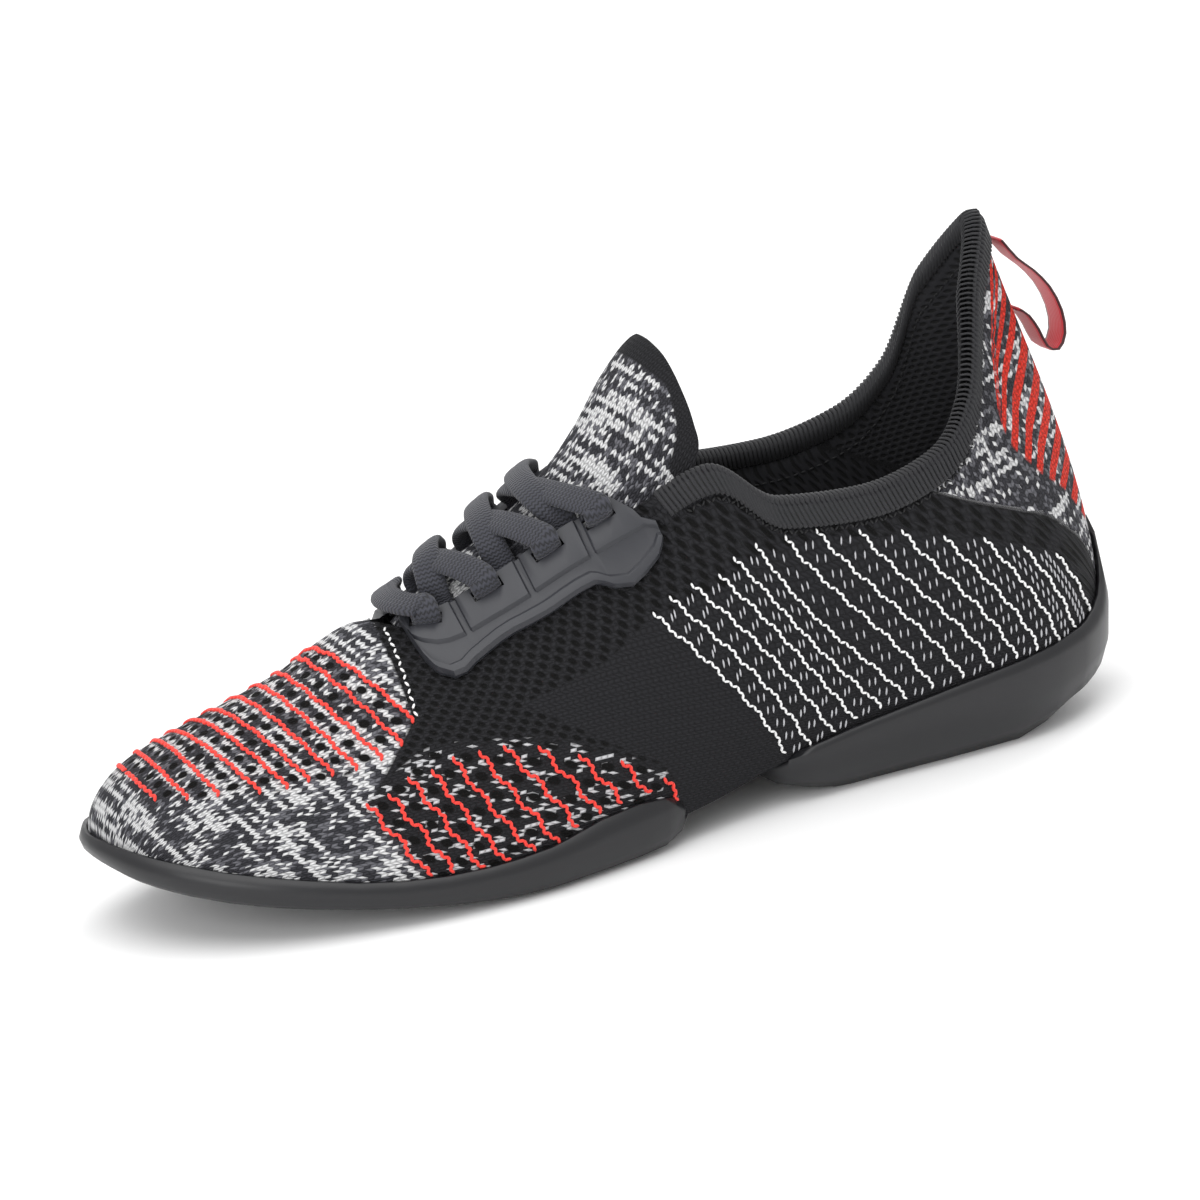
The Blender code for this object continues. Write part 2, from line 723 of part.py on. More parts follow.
def box_cutter(name, centre, axes, sizes):
    """A box along three unit axes, to cut with."""
    rows = []
    for a in (-0.5, 0.5):
        ring = []
        for b, c in ((-0.5, -0.5), (0.5, -0.5), (0.5, 0.5), (-0.5, 0.5)):
            ring.append(centre + axes[0] * a * sizes[0] + axes[1] * b * sizes[1] + axes[2] * c * sizes[2])
        rows.append(ring)
    return hide_cutter(face_outwards(mesh_from_rows(name, rows, "cutters", closed=True, ends=True)))


def eyelet_axes(side, number):
    """The unit directions along the throat, down the upper and out of it at an eyelet."""
    station = EYELET_STATIONS[number]
    along = over_edge(side, station + 0.2, -EYELET_OVERHANG, 0) - over_edge(
        side, station - 0.2, -EYELET_OVERHANG, 0)
    along /= np.linalg.norm(along)
    out = normal(side, station, 1.0)
    out = out - along * (out @ along)
    out /= np.linalg.norm(out)
    return along, np.cross(out, along), out


def make_eyestay(side, name, plastic):
    """The moulded lace stay: four lugs with a slot each, a groove and a raised rim."""
    stations = set(np.linspace(STAY_OUTLINE[0][0], STAY_OUTLINE[-1][0], 19))
    stations |= {row[0] for row in STAY_OUTLINE if row[0] < 5.8 or row[0] > 8.9}
    stations = {s for s in stations if all(abs(s - g) > GROOVE_HALF + 0.03 for g in LUG_GROOVES)}
    for groove in LUG_GROOVES:
        for edge in (-1, 1):
            stations.add(groove + edge * (GROOVE_HALF - 0.001))
            stations.add(groove + edge * (GROOVE_HALF + 0.020))
    rows = [stay_ring(side, station) for station in sorted(stations)]
    stay = face_outwards(mesh_from_rows(name, rows, closed=True, ends=True))
    for number in range(len(EYELET_STATIONS)):
        centre = over_edge(side, EYELET_STATIONS[number], -EYELET_OVERHANG, STAY_GAP)
        sizes = (SLOT_LENGTH, SLOT_HEIGHT, 6 * STAY_RAISED)
        slot = box_cutter(f"{name}_slot_{number + 1}", centre, eyelet_axes(side, number), sizes)
        boolean(stay, slot, "DIFFERENCE")
    return finish(stay, plastic, 35)


def eyelet_point(side, number, lift):
    return over_edge(side, EYELET_STATIONS[number], -EYELET_OVERHANG, lift)


def under_lug_point(side, number):
    """Where a lace shows from under a lug, just past the lug's edge."""
    station = EYELET_STATIONS[number] + LEG_SHIFT
    return over_edge(side, station, -LUG_OVERHANG - 0.0030, 0.0004)


def tongue_crown(station, lift):
    """The point above the tongue's ridge, level with a row of the upper."""
    rows = [row for row in TONGUE_ROWS if row[0]]
    keys = [row[0] for row in rows]
    x = smooth(keys, [row[1] for row in rows], station)
    z = smooth(keys, [row[2] for row in rows], station)
    return np.array([to_frame(float(x)), 0, float(z) * COLLAR_HEIGHT + lift])


def arched_path(start, middle, end, count=13):
    """A smooth run through three points, as a lace lies over the tongue."""
    points = []
    for k in range(count):
        t = k / (count - 1)
        blend = 4 * t * (1 - t)
        line = start * (1 - t) + end * t
        rise = middle - (start + end) / 2
        points.append(line + rise * blend**0.8)
    return points


def lace_turns(start, end, count):
    """Directions across a lace, from one eyelet's line over the ridge to the other's."""
    ridge = tongue_crown(7.6, 0) - tongue_crown(6.6, 0)
    ridge /= np.linalg.norm(ridge)
    turns = []
    for k in range(count):
        t = k / (count - 1)
        side = start if t < 0.5 else end
        share = abs(2 * t - 1) ** 2
        turns.append(side * share + ridge * (1 - share))
    return turns


def lace_leg(name, low_side, low, high, over):
    """A leg from under the lower eyelet on one side, up and over to the other side."""
    high_side = -low_side
    start = under_lug_point(low_side, low)
    end = eyelet_point(high_side, high, LACE_LIFT)
    lift = LACE_THICKNESS * (CROSS_LIFTS[low] + (LEG_LIFT if over else 0))
    middle = tongue_crown((EYELET_STATIONS[low] + EYELET_STATIONS[high]) / 2, lift)
    path = arched_path(start, middle, end)
    ends = eyelet_axes(low_side, low)[0], eyelet_axes(high_side, high)[0]
    return strap(name, path, lace_turns(*ends, len(path)), LACE_WIDTH, LACE_THICKNESS)


def make_laces(cotton):
    """The lowest bar and three crossings, each one solid."""
    start, end = eyelet_point(LATERAL, 0, LACE_LIFT), eyelet_point(MEDIAL, 0, LACE_LIFT)
    middle = tongue_crown(EYELET_STATIONS[0] - BAR_SHIFT, BAR_LIFT * LACE_THICKNESS)
    path = arched_path(start, middle, end, 15)
    turns = lace_turns(eyelet_axes(LATERAL, 0)[0], eyelet_axes(MEDIAL, 0)[0], len(path))
    bar = strap("lace_bar", path, turns, LACE_WIDTH, LACE_THICKNESS)
    made = [finish(bar, cotton)]
    for k in range(3):
        under = lace_leg(f"lace_cross_{k + 1}", MEDIAL, k, k + 1, False)
        over = lace_leg("lace_leg", LATERAL, k, k + 1, True)
        boolean(under, over, "UNION")
        bpy.data.objects.remove(over)
        made.append(finish(under, cotton))
    return made


def make_pull_loop(ribbon):
    top = top_point(LATERAL, LAST_STATION)
    points = np.array([[top[0] + x * LENGTH, 0, top[2] + z * COLLAR_HEIGHT] for x, z in LOOP_POINTS])
    fine = []
    for i in range(len(points) - 1):
        before, after = points[max(i - 1, 0)], points[min(i + 2, len(points) - 1)]
        a, b = points[i], points[i + 1]
        for t in (0.0, 0.5):
            fine.append(
                0.5 * (2 * a + (b - before) * t
                       + (2 * before - 5 * a + 4 * b - after) * t * t
                       + (3 * a - before - 3 * b + after) * t**3)
            )
    fine.append(points[-1])
    across = [np.array([0, 1.0, 0])] * len(fine)
    return finish(strap("pull_loop", fine, across, LOOP_WIDTH, LOOP_THICKNESS), ribbon)


def main():
    for item in list(bpy.data.objects):
        bpy.data.objects.remove(item)
    for name in ("dance_sneaker", "cutters"):
        made = bpy.data.collections.new(name)
        bpy.context.scene.collection.children.link(made)
    knit = material("knit", (0.05, 0.05, 0.055), 0.85)
    rubber = material("sole_rubber", (0.035, 0.034, 0.036), 0.45)
    plastic = material("stay_plastic", (0.05, 0.052, 0.056), 0.5)
    cotton = material("lace", (0.045, 0.045, 0.05), 0.8)
    ribbon = material("ribbon", (0.55, 0.06, 0.07), 0.6)
    fabric = material("insole_cloth", (0.012, 0.012, 0.014), 0.9)
    make_upper(knit)
    last = make_last()
    make_pad("forefoot_sole", FOREFOOT_ROWS, last, rubber)
    make_pad("heel_sole", HEEL_ROWS, last, rubber)
    make_insole(fabric)
    make_tongue(knit)
    make_eyestay(LATERAL, "eyestay_lateral", plastic)
    make_eyestay(MEDIAL, "eyestay_medial", plastic)
    make_laces(cotton)
    make_pull_loop(ribbon)


main()
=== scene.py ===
import math

import bmesh
import bpy
import numpy as np
from mathutils import Matrix, Vector


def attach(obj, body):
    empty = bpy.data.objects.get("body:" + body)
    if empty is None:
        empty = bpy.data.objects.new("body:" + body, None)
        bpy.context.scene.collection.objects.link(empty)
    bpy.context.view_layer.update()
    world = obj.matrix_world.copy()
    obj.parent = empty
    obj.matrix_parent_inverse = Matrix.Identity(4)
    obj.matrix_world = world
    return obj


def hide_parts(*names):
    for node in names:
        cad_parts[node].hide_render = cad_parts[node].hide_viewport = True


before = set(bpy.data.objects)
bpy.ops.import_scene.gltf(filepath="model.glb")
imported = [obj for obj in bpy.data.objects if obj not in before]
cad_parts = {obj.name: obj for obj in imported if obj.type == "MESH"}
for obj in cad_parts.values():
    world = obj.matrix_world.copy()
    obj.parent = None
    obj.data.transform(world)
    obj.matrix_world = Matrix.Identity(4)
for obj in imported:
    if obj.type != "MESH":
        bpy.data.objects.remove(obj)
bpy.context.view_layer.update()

# A left dance sneaker. The toe points along -X, the outer side is at -Y.
# The form below is the one that the CAD model has, on a finer grid.

LENGTH = 0.272
BALL_WIDTH = 0.0917
COLLAR_HEIGHT = 0.128
HEEL_STACK = 0.0195

# Walls and clearances
CLEARANCE = 0.0004
KNIT_WALL = 0.0020
PADDED_WALL = 0.0042
EDGING_HEIGHT = 0.0070
EDGING_STEP = 0.0010
EDGING_ROUND = 0.0012

# Tongue
TONGUE_THICKNESS = 0.0024
TONGUE_TUCK = 0.0060
TONGUE_GAP = 0.0014

# Lace stay
STAY_RAISED = 0.0024
STAY_GAP = 0.0004
LUG_OVERHANG = 0.0050

# Laces
LACE_WIDTH = 0.0072
LACE_THICKNESS = 0.0024
LACE_LIFT = STAY_GAP + STAY_RAISED + CLEARANCE + 0.95 * LACE_THICKNESS

# Pull loop
LOOP_WIDTH = 0.0095

HALF_BALL = BALL_WIDTH / 2
LATERAL, MEDIAL = -1, 1

# Sections of the upper, from the toe round each side to the heel.
# foot_x, top_x: shares of LENGTH. foot_lateral, foot_medial, ridge, gap: shares
# of half the ball width. top_z: share of COLLAR_HEIGHT. lean, turn: degrees from
# upright at the foot and at the top. low, high: pull of the section's ends, as
# shares of its chord.
UPPER_COLUMNS = (
    "foot_x", "foot_lateral", "foot_medial",
    "top_x", "ridge", "gap", "top_z",
    "lean", "low", "turn", "high",
)
UPPER_ROWS = (
    (0.0108, -0.191, 0.191, 0.0932, 0.128, 0.000, 0.340, 4, 0.34, 70, 0.52),
    (0.0233, 0.128, 0.447, 0.0986, 0.128, 0.000, 0.345, 5, 0.34, 78, 0.46),
    (0.0609, 0.447, 0.660, 0.1129, 0.117, 0.000, 0.356, 6, 0.34, 86, 0.36),
    (0.1183, 0.681, 0.830, 0.1470, 0.096, 0.000, 0.379, 7, 0.34, 88, 0.30),
    (0.1900, 0.830, 0.915, 0.2007, 0.064, 0.000, 0.417, 8, 0.32, 89, 0.28),
    (0.2652, 0.926, 0.947, 0.2760, 0.032, 0.000, 0.485, 9, 0.32, 86, 0.27),
    (0.3369, 0.957, 0.894, 0.3226, 0.000, 0.234, 0.466, 10, 0.32, 58, 0.30),
    (0.4122, 0.904, 0.777, 0.3835, 0.000, 0.330, 0.511, 10, 0.32, 52, 0.32),
    (0.4875, 0.809, 0.649, 0.4444, 0.000, 0.404, 0.573, 11, 0.32, 46, 0.32),
    (0.5627, 0.713, 0.564, 0.5125, 0.000, 0.457, 0.629, 12, 0.32, 36, 0.32),
    (0.6308, 0.660, 0.553, 0.5789, 0.000, 0.549, 0.685, 12, 0.33, 20, 0.32),
    (0.7025, 0.638, 0.574, 0.6380, 0.000, 0.643, 0.597, 11, 0.34, 3, 0.32),
    (0.7778, 0.649, 0.628, 0.7204, 0.000, 0.681, 0.582, 9, 0.34, 2, 0.34),
    (0.8566, 0.638, 0.638, 0.7957, 0.000, 0.634, 0.614, 8, 0.34, 6, 0.34),
    (0.9176, 0.532, 0.532, 0.8405, 0.000, 0.517, 0.698, 7, 0.34, 12, 0.36),
    (0.9677, 0.287, 0.287, 0.8738, 0.000, 0.309, 0.885, 5, 0.34, 13, 0.36),
    (0.9875, 0.000, 0.000, 0.9090, 0.000, 0.000, 1.000, 4, 0.34, 13, 0.36),
)
# Rows of the upper between which the collar's edging begins
EDGING_FROM = (9.20, 9.60)

# Underside of the upper: share of LENGTH, share of HEEL_STACK
BED_ROWS = (
    (0.000, 1.250),
    (0.020, 1.050),
    (0.050, 0.895),
    (0.075, 0.800),
    (0.108, 0.680),
    (0.140, 0.590),
    (0.194, 0.440),
    (0.244, 0.345),
    (0.301, 0.295),
    (0.358, 0.290),
    (0.448, 0.340),
    (0.529, 0.430),
    (0.599, 0.600),
    (0.656, 0.695),
    (0.717, 0.785),
    (0.792, 0.875),
    (0.921, 0.975),
    (1.000, 1.000),
)

# Tongue, from its root to its tip. station: row of the upper whose throat edge it
# follows, or 0 where it stands free. x, edge_x: shares of LENGTH. z, edge_z: shares
# of COLLAR_HEIGHT. half: share of half the ball width.
TONGUE_ROWS = (
    (5.8, 0.3011, 0.473, 0.0000, 0.000, 0.000),
    (6.5, 0.3441, 0.536, 0.0000, 0.000, 0.000),
    (7.3, 0.3907, 0.585, 0.0000, 0.000, 0.000),
    (8.1, 0.4337, 0.634, 0.0000, 0.000, 0.000),
    (8.8, 0.4713, 0.698, 0.0000, 0.000, 0.000),
    (9.4, 0.5000, 0.760, 0.0000, 0.000, 0.000),
    (0, 0.5233, 0.817, 0.5789, 0.698, 0.447),
    (0, 0.5430, 0.863, 0.5824, 0.760, 0.394),
    (0, 0.5556, 0.889, 0.5806, 0.824, 0.298),
    (0, 0.5645, 0.903, 0.5771, 0.874, 0.191),
    (0, 0.5692, 0.908, 0.5720, 0.901, 0.085),
)

# Lace eyelets, from the lowest to the top one: rows of the upper
EYELET_STATIONS = (6.00, 6.92, 7.84, 8.55)
EYELET_OVERHANG = 0.0018
LEG_SHIFT = 0.30
BAR_SHIFT = 0.20

# Height of the bar's and each crossing's lower leg over the tongue, and of the upper
# leg over the lower one: shares of LACE_THICKNESS
BAR_LIFT = 2.6
CROSS_LIFTS = (2.3, 2.0, 1.7)
LEG_LIFT = 0.64


def smooth(xs, ys, x, level_ends=False):
    """A smooth curve through a table's points that never overshoots them."""
    xs, ys = np.asarray(xs, float), np.asarray(ys, float)
    x = np.clip(np.asarray(x, float), xs[0], xs[-1])
    step = np.diff(xs)
    slope = np.diff(ys) / step
    tangent = np.zeros_like(ys)
    for i in range(1, len(ys) - 1):
        if slope[i - 1] * slope[i] > 0:
            tangent[i] = 2 * slope[i - 1] * slope[i] / (slope[i - 1] + slope[i])
    if not level_ends:
        tangent[0], tangent[-1] = slope[0], slope[-1]
    k = np.clip(np.searchsorted(xs, x, side="right") - 1, 0, len(step) - 1)
    h = step[k]
    t = (x - xs[k]) / h
    return (
        ys[k] * (1 + 2 * t) * (1 - t) ** 2
        + tangent[k] * h * t * (1 - t) ** 2
        + ys[k + 1] * t * t * (3 - 2 * t)
        + tangent[k + 1] * h * t * t * (t - 1)
    )


def upper(name, station):
    """A column of the upper's table: it turns round toe and heel without a corner."""
    values = [row[UPPER_COLUMNS.index(name)] for row in UPPER_ROWS]
    across = name in ("foot_lateral", "foot_medial", "gap")
    return smooth(range(len(values)), values, station, level_ends=not across)


LAST_STATION = len(UPPER_ROWS) - 1


def to_frame(x_share):
    """Shares of the length, from the toe, to x."""
    return (x_share - 0.5) * LENGTH


def bed_height(x_share):
    xs, zs = zip(*BED_ROWS)
    return smooth(xs, zs, x_share) * HEEL_STACK


def foot_point(side, station):
    """The point of the upper's bottom edge."""
    share = upper("foot_x", station)
    name = "foot_lateral" if side == LATERAL else "foot_medial"
    y = side * upper(name, station) * HALF_BALL
    return np.stack([to_frame(share), y, bed_height(share)], -1)


def outward(side, station):
    """The level direction that points out of the shoe at its bottom edge."""
    station = np.asarray(station, float)
    a = foot_point(side, np.clip(station - 0.15, 0, LAST_STATION))
    b = foot_point(side, np.clip(station + 0.15, 0, LAST_STATION))
    along = b - a
    out = np.stack([-side * along[..., 1], side * along[..., 0], 0 * along[..., 0]], -1)
    at_toe, at_heel = station <= 0, station >= LAST_STATION
    out[..., 0] = np.where(at_toe, -1.0, np.where(at_heel, 1.0, out[..., 0]))
    out[..., 1] = np.where(at_toe | at_heel, 0.0, out[..., 1])
    return out / np.linalg.norm(out, axis=-1, keepdims=True)


def top_point(side, station):
    """The point of the throat edge or collar, or of the ridge over the toes."""
    x = to_frame(upper("top_x", station))
    y = (upper("ridge", station) + side * upper("gap", station)) * HALF_BALL
    return np.stack([x, y, upper("top_z", station) * COLLAR_HEIGHT], -1)


def surface(side, station, rise):
    """A point of the upper's outer face: rise is 0 at the foot and 1 at the top."""
    station, rise = np.broadcast_arrays(np.asarray(station, float), np.asarray(rise, float))
    foot, top = foot_point(side, station), top_point(side, station)
    out = outward(side, station)
    chord = np.linalg.norm(top - foot, axis=-1)[..., None]
    lean = np.radians(upper("lean", station))[..., None]
    turn = np.radians(upper("turn", station))[..., None]
    up = np.array([0, 0, 1.0])
    blend = np.clip(station / 2, 0, 1)[..., None]
    at_end = np.clip(LAST_STATION - station, 0, 1)[..., None]
    across = np.zeros_like(out)
    across[..., 1] = side
    square = out * (1 - blend) + across * blend
    square = out * (1 - at_end) + square * at_end
    square /= np.linalg.norm(square, axis=-1, keepdims=True)
    low = foot + chord * upper("low", station)[..., None] * (
        out * np.sin(lean) + up * np.cos(lean)
    )
    high = top + chord * upper("high", station)[..., None] * (
        square * np.sin(turn) - up * np.cos(turn)
    )
    t = rise[..., None]
    return (
        foot * (1 - t) ** 3
        + low * 3 * t * (1 - t) ** 2
        + high * 3 * t * t * (1 - t)
        + top * t**3
    )


def tilt(side, station, rise):
    """The unit normal of one side's face, pointing out."""
    u = np.clip(station, 0.04, LAST_STATION - 0.04)
    v = np.clip(rise, 0.02, 0.97)
    along = surface(side, u + 0.03, v) - surface(side, u - 0.03, v)
    rising = surface(side, u, v + 0.01) - surface(side, u, v - 0.01)
    n = np.cross(along, rising) * -side
    return n / np.linalg.norm(n, axis=-1, keepdims=True)


def normal(side, station, rise):
    """The unit normal of the upper's outer face, the same for both sides at its ends."""
    station, rise = np.broadcast_arrays(np.asarray(station, float), np.asarray(rise, float))
    n = tilt(side, station, rise)
    both = (tilt(LATERAL, station, rise) + tilt(MEDIAL, station, rise)) * [1, 0, 1]
    on_seam = (station <= 0) | (station >= LAST_STATION)
    n = np.where(on_seam[..., None], both, n)
    return n / np.linalg.norm(n, axis=-1, keepdims=True)


def skin(side, station, rise, offset=0.0):
    """The upper's outer face, moved out by an offset."""
    offset = np.asarray(offset, float)[..., None]
    return surface(side, station, rise) + normal(side, station, rise) * offset


def rise_below_top(side, station, depth):
    """The rise of the point that lies a given depth below the top edge."""
    rises = np.linspace(0, 1, 41)
    points = surface(side, station, rises)
    steps = np.linalg.norm(np.diff(points, axis=0), axis=1)
    from_top = np.concatenate([[0], np.cumsum(steps[::-1])])
    return np.interp(depth, from_top, rises[::-1])


def over_edge(side, station, depth, offset):
    """A point at a depth below the top edge, or past the edge where it is negative."""
    if depth >= 0:
        return skin(side, station, rise_below_top(side, station, depth), offset)
    last = surface(side, station, 1.0) - surface(side, station, 0.97)
    last /= np.linalg.norm(last)
    return skin(side, station, 1.0, offset) - last * depth


def edging_share(station):
    """1 round the collar, where an edging is sewn on, and 0 under the lace stay."""
    first, last = EDGING_FROM
    return float(np.clip((station - first) / (last - first), 0, 1))


def wall_share(station, rise):
    """The wall's thickness as a share of the padded wall."""
    thin = KNIT_WALL / PADDED_WALL
    pad = np.clip((station - 9.3) / 1.5, 0, 1) * np.clip((rise - 0.35) / 0.3, 0, 1)
    return float(thin + (1 - thin) * pad)


def face_outwards(item):
    """Turns a closed mesh's faces to point out."""
    work = bmesh.new()
    work.from_mesh(item.data)
    bmesh.ops.recalc_face_normals(work, faces=work.faces)
    work.to_mesh(item.data)
    work.free()
    return item


def apply_modifiers(item):
    """Replaces an object's mesh by its evaluated one."""
    graph = bpy.context.evaluated_depsgraph_get()
    made = bpy.data.meshes.new_from_object(item.evaluated_get(graph))
    item.modifiers.clear()
    item.data = made
    return item


def tongue_row(values, steps=4):
    """Points of the tongue's outer face along one row, from edge to edge."""
    station, x, z, edge_x, edge_z, half = values
    middle = np.array([to_frame(x), 0, z * COLLAR_HEIGHT])
    if station:
        wall = PADDED_WALL * wall_share(station, 1.0)
        gap = wall + TONGUE_GAP
        edge = over_edge(LATERAL, station, TONGUE_TUCK, -gap)
        shoulder = over_edge(LATERAL, station, 0.0, -gap)
        medial_edge = over_edge(MEDIAL, station, TONGUE_TUCK, -gap)
        medial_shoulder = over_edge(MEDIAL, station, 0.0, -gap)
    else:
        edge = np.array([to_frame(edge_x), -half * HALF_BALL, edge_z * COLLAR_HEIGHT])
        shoulder = edge * 0.55 + middle * 0.45
        shoulder[1] = edge[1] * 0.82
        medial_edge, medial_shoulder = edge * [1, -1, 1], shoulder * [1, -1, 1]
    row = []
    for rim, knee in ((edge, shoulder), (medial_edge, medial_shoulder)):
        half_row = [rim]
        for k in range(steps + 1):
            t = k / (steps + 1)
            handle = knee + (knee - rim) * 0.35
            crown = middle + (knee - middle) * [0, 0.55, 0]
            half_row.append(
                knee * (1 - t) ** 3 + handle * 3 * t * (1 - t) ** 2
                + crown * 3 * t * t * (1 - t) + middle * t**3
            )
        row.append(half_row)
    return row[0] + [middle] + row[1][::-1]


def eyelet_axes(side, number):
    """The unit directions along the throat, down the upper and out of it at an eyelet."""
    station = EYELET_STATIONS[number]
    along = over_edge(side, station + 0.2, -EYELET_OVERHANG, 0) - over_edge(
        side, station - 0.2, -EYELET_OVERHANG, 0)
    along /= np.linalg.norm(along)
    out = normal(side, station, 1.0)
    out = out - along * (out @ along)
    out /= np.linalg.norm(out)
    return along, np.cross(out, along), out


def under_lug_point(side, number):
    """Where a lace shows from under a lug, just past the lug's edge."""
    station = EYELET_STATIONS[number] + LEG_SHIFT
    return over_edge(side, station, -LUG_OVERHANG - 0.0030, 0.0004)


def tongue_crown(station, lift):
    """The point above the tongue's ridge, level with a row of the upper."""
    rows = [row for row in TONGUE_ROWS if row[0]]
    keys = [row[0] for row in rows]
    x = smooth(keys, [row[1] for row in rows], station)
    z = smooth(keys, [row[2] for row in rows], station)
    return np.array([to_frame(float(x)), 0, float(z) * COLLAR_HEIGHT + lift])


def arched_path(start, middle, end, count=13):
    """A smooth run through three points, as a lace lies over the tongue."""
    points = []
    for k in range(count):
        t = k / (count - 1)
        blend = 4 * t * (1 - t)
        line = start * (1 - t) + end * t
        rise = middle - (start + end) / 2
        points.append(line + rise * blend**0.8)
    return points


def lace_turns(start, end, count):
    """Directions across a lace, from one eyelet's line over the ridge to the other's."""
    ridge = tongue_crown(7.6, 0) - tongue_crown(6.6, 0)
    ridge /= np.linalg.norm(ridge)
    turns = []
    for k in range(count):
        t = k / (count - 1)
        side = start if t < 0.5 else end
        share = abs(2 * t - 1) ** 2
        turns.append(side * share + ridge * (1 - share))
    return turns


# Knit gauges, in millimetres. The real loops are about 1 mm: they are drawn a little
# coarser here, so that they show.
WALE = 1.4
COURSE = 1.3
OPEN_PITCH = 2.3
HOLE_PITCH = 4.6

# Slope of a loop's legs, as courses over a wale
LOOP_LEAN = 1.1

# What the knit's material reads from the mesh, and the soft edge of each zone
KNIT_FACTS = (
    "wale", "course", "row", "bar", "row_zone", "side_zone", "marl_zone", "open_zone", "bar_zone",
    "bound_zone",
)
ZONE_EDGES = {"open": 0.35, "marl": 0.35, "side": 0.35, "row": 0.6, "bar": 0.35, "bound": 0.35}

# Yarn loops: length, width and height, and their spacing along a row
RED_LOOP, RED_PITCH = (0.0021, 0.00095, 0.0009), 0.00095
WHITE_LOOP, WHITE_PITCH = (0.0017, 0.00068, 0.0008), 0.00115
TUCK_LOOP = (0.0024, 0.00045, 0.0006)
SEAM_LOOP = (0.0016, 0.00055, 0.0006)
BORDER_PITCH = 0.0019

# Overlocked ribs of the collar: spacing, half width, half height, lean in stations
RIB_PITCH = 0.00125
RIB_WIDE, RIB_HIGH = 0.00062, 0.00042
RIB_LEAN = 0.10

# Camera: degrees, metres, millimetres and shares of the frame
CAMERA_AZIMUTH, CAMERA_ELEVATION, CAMERA_ROLL = -21.07, 16.89, -7.7
CAMERA_TARGET, CAMERA_DISTANCE = (-0.0034, 0, 0.0488), 1.2
CAMERA_LENS, CAMERA_SHIFT = 148.14, (0.0076, 0.0177)

# Nodes that the materials use most
MATH, MIX, XYZ = "ShaderNodeMath", "ShaderNodeMix", "ShaderNodeCombineXYZ"
RANGE, NOISE = "ShaderNodeMapRange", "ShaderNodeTexWhiteNoise"

# Fine grid of the upper
SHELL_STEP = 0.0625
SHELL_STEPS = 56

# Raised rows of yarn, as (station, rise) where each row starts and ends
VAMP_ROWS = (
    (0.08, 0.69, 1.28, 0.49), (0.18, 0.83, 1.88, 0.48), (0.75, 0.92, 2.45, 0.48),
    (1.68, 0.94, 3.08, 0.46), (2.43, 0.94, 3.45, 0.46), (2.88, 0.95, 3.73, 0.47),
    (3.33, 0.96, 4.03, 0.47), (3.68, 0.97, 4.30, 0.46), (4.00, 0.96, 4.58, 0.46),
    (4.28, 0.96, 4.83, 0.48), (4.45, 0.96, 5.05, 0.54),
)
SIDE_ROWS = (
    (4.30, 0.33, 4.78, 0.08), (4.55, 0.34, 5.08, 0.08), (4.80, 0.37, 5.43, 0.08),
    (5.10, 0.38, 5.75, 0.09), (5.43, 0.43, 6.08, 0.11), (5.83, 0.47, 6.40, 0.11),
    (6.18, 0.48, 6.70, 0.14), (6.58, 0.44, 7.00, 0.16), (7.00, 0.36, 7.33, 0.16),
    (7.48, 0.28, 7.68, 0.15), (7.95, 0.16, 8.08, 0.08),
)
WHITE_ROWS = (
    (8.65, 0.66, 9.68, 0.04), (8.93, 0.68, 10.05, 0.03), (9.25, 0.68, 10.40, 0.04),
    (9.62, 0.66, 10.73, 0.06), (9.90, 0.69, 11.10, 0.07), (10.33, 0.74, 11.45, 0.07),
    (10.93, 0.84, 11.80, 0.08), (11.33, 0.86, 12.20, 0.08), (11.78, 0.83, 12.58, 0.08),
    (12.25, 0.78, 12.90, 0.08), (12.68, 0.68, 13.25, 0.08), (13.18, 0.59, 13.65, 0.07),
    (13.70, 0.46, 14.03, 0.08), (14.18, 0.34, 14.48, 0.09),
)
# Red bars of the heel: (station, rise) of the lower end, and the rise at the centre
HEEL_BARS = (
    (15.28, 0.86, 0.96), (15.00, 0.83, 0.91), (14.70, 0.79, 0.85), (14.58, 0.74, 0.79),
    (14.55, 0.67, 0.72), (14.65, 0.59, 0.64), (14.73, 0.53, 0.57), (14.90, 0.46, 0.49),
    (15.08, 0.41, 0.42), (15.25, 0.34, 0.35),
)
# Zones of the knit, as outlines in (station, rise)
MARL_FRONT = (
    (-1, -0.2), (4.9, -0.2), (4.78, 0.08), (4.28, 0.33), (5.05, 0.54), (5.08, 0.86), (5.3, 1.2),
    (-1, 1.2),
)
SIDE_PATCH = (
    (4.78, -0.1), (4.74, 0.08), (4.20, 0.35), (5.00, 0.44), (5.6, 0.50), (6.15, 0.52),
    (6.60, 0.48), (7.05, 0.40), (7.52, 0.31), (8.00, 0.19), (8.2, -0.1),
)
VAMP_PATCH = (
    (-1.0, 0.74), (0.0, 0.72), (1.28, 0.48), (2.45, 0.46), (3.45, 0.44), (4.58, 0.44),
    (5.05, 0.53), (4.42, 1.2), (-1, 1.2),
)
HEEL_MARL = (
    (12.60, 0.92), (12.90, 0.84), (13.35, 0.73), (13.73, 0.64), (14.15, 0.53), (14.40, 0.45),
    (14.68, 0.33), (14.95, 0.24), (15.30, 0.10), (17, 0.05), (17, 1.2), (12.9, 1.2),
)
HEEL_FIELD = (
    (15.45, 1.2), (15.28, 0.87), (14.95, 0.83), (14.62, 0.80), (14.50, 0.74), (14.50, 0.67),
    (14.62, 0.59), (14.70, 0.53), (14.88, 0.46), (15.06, 0.41), (15.25, 0.33), (15.6, 0.22),
    (17, 0.20), (17, 1.2),
)
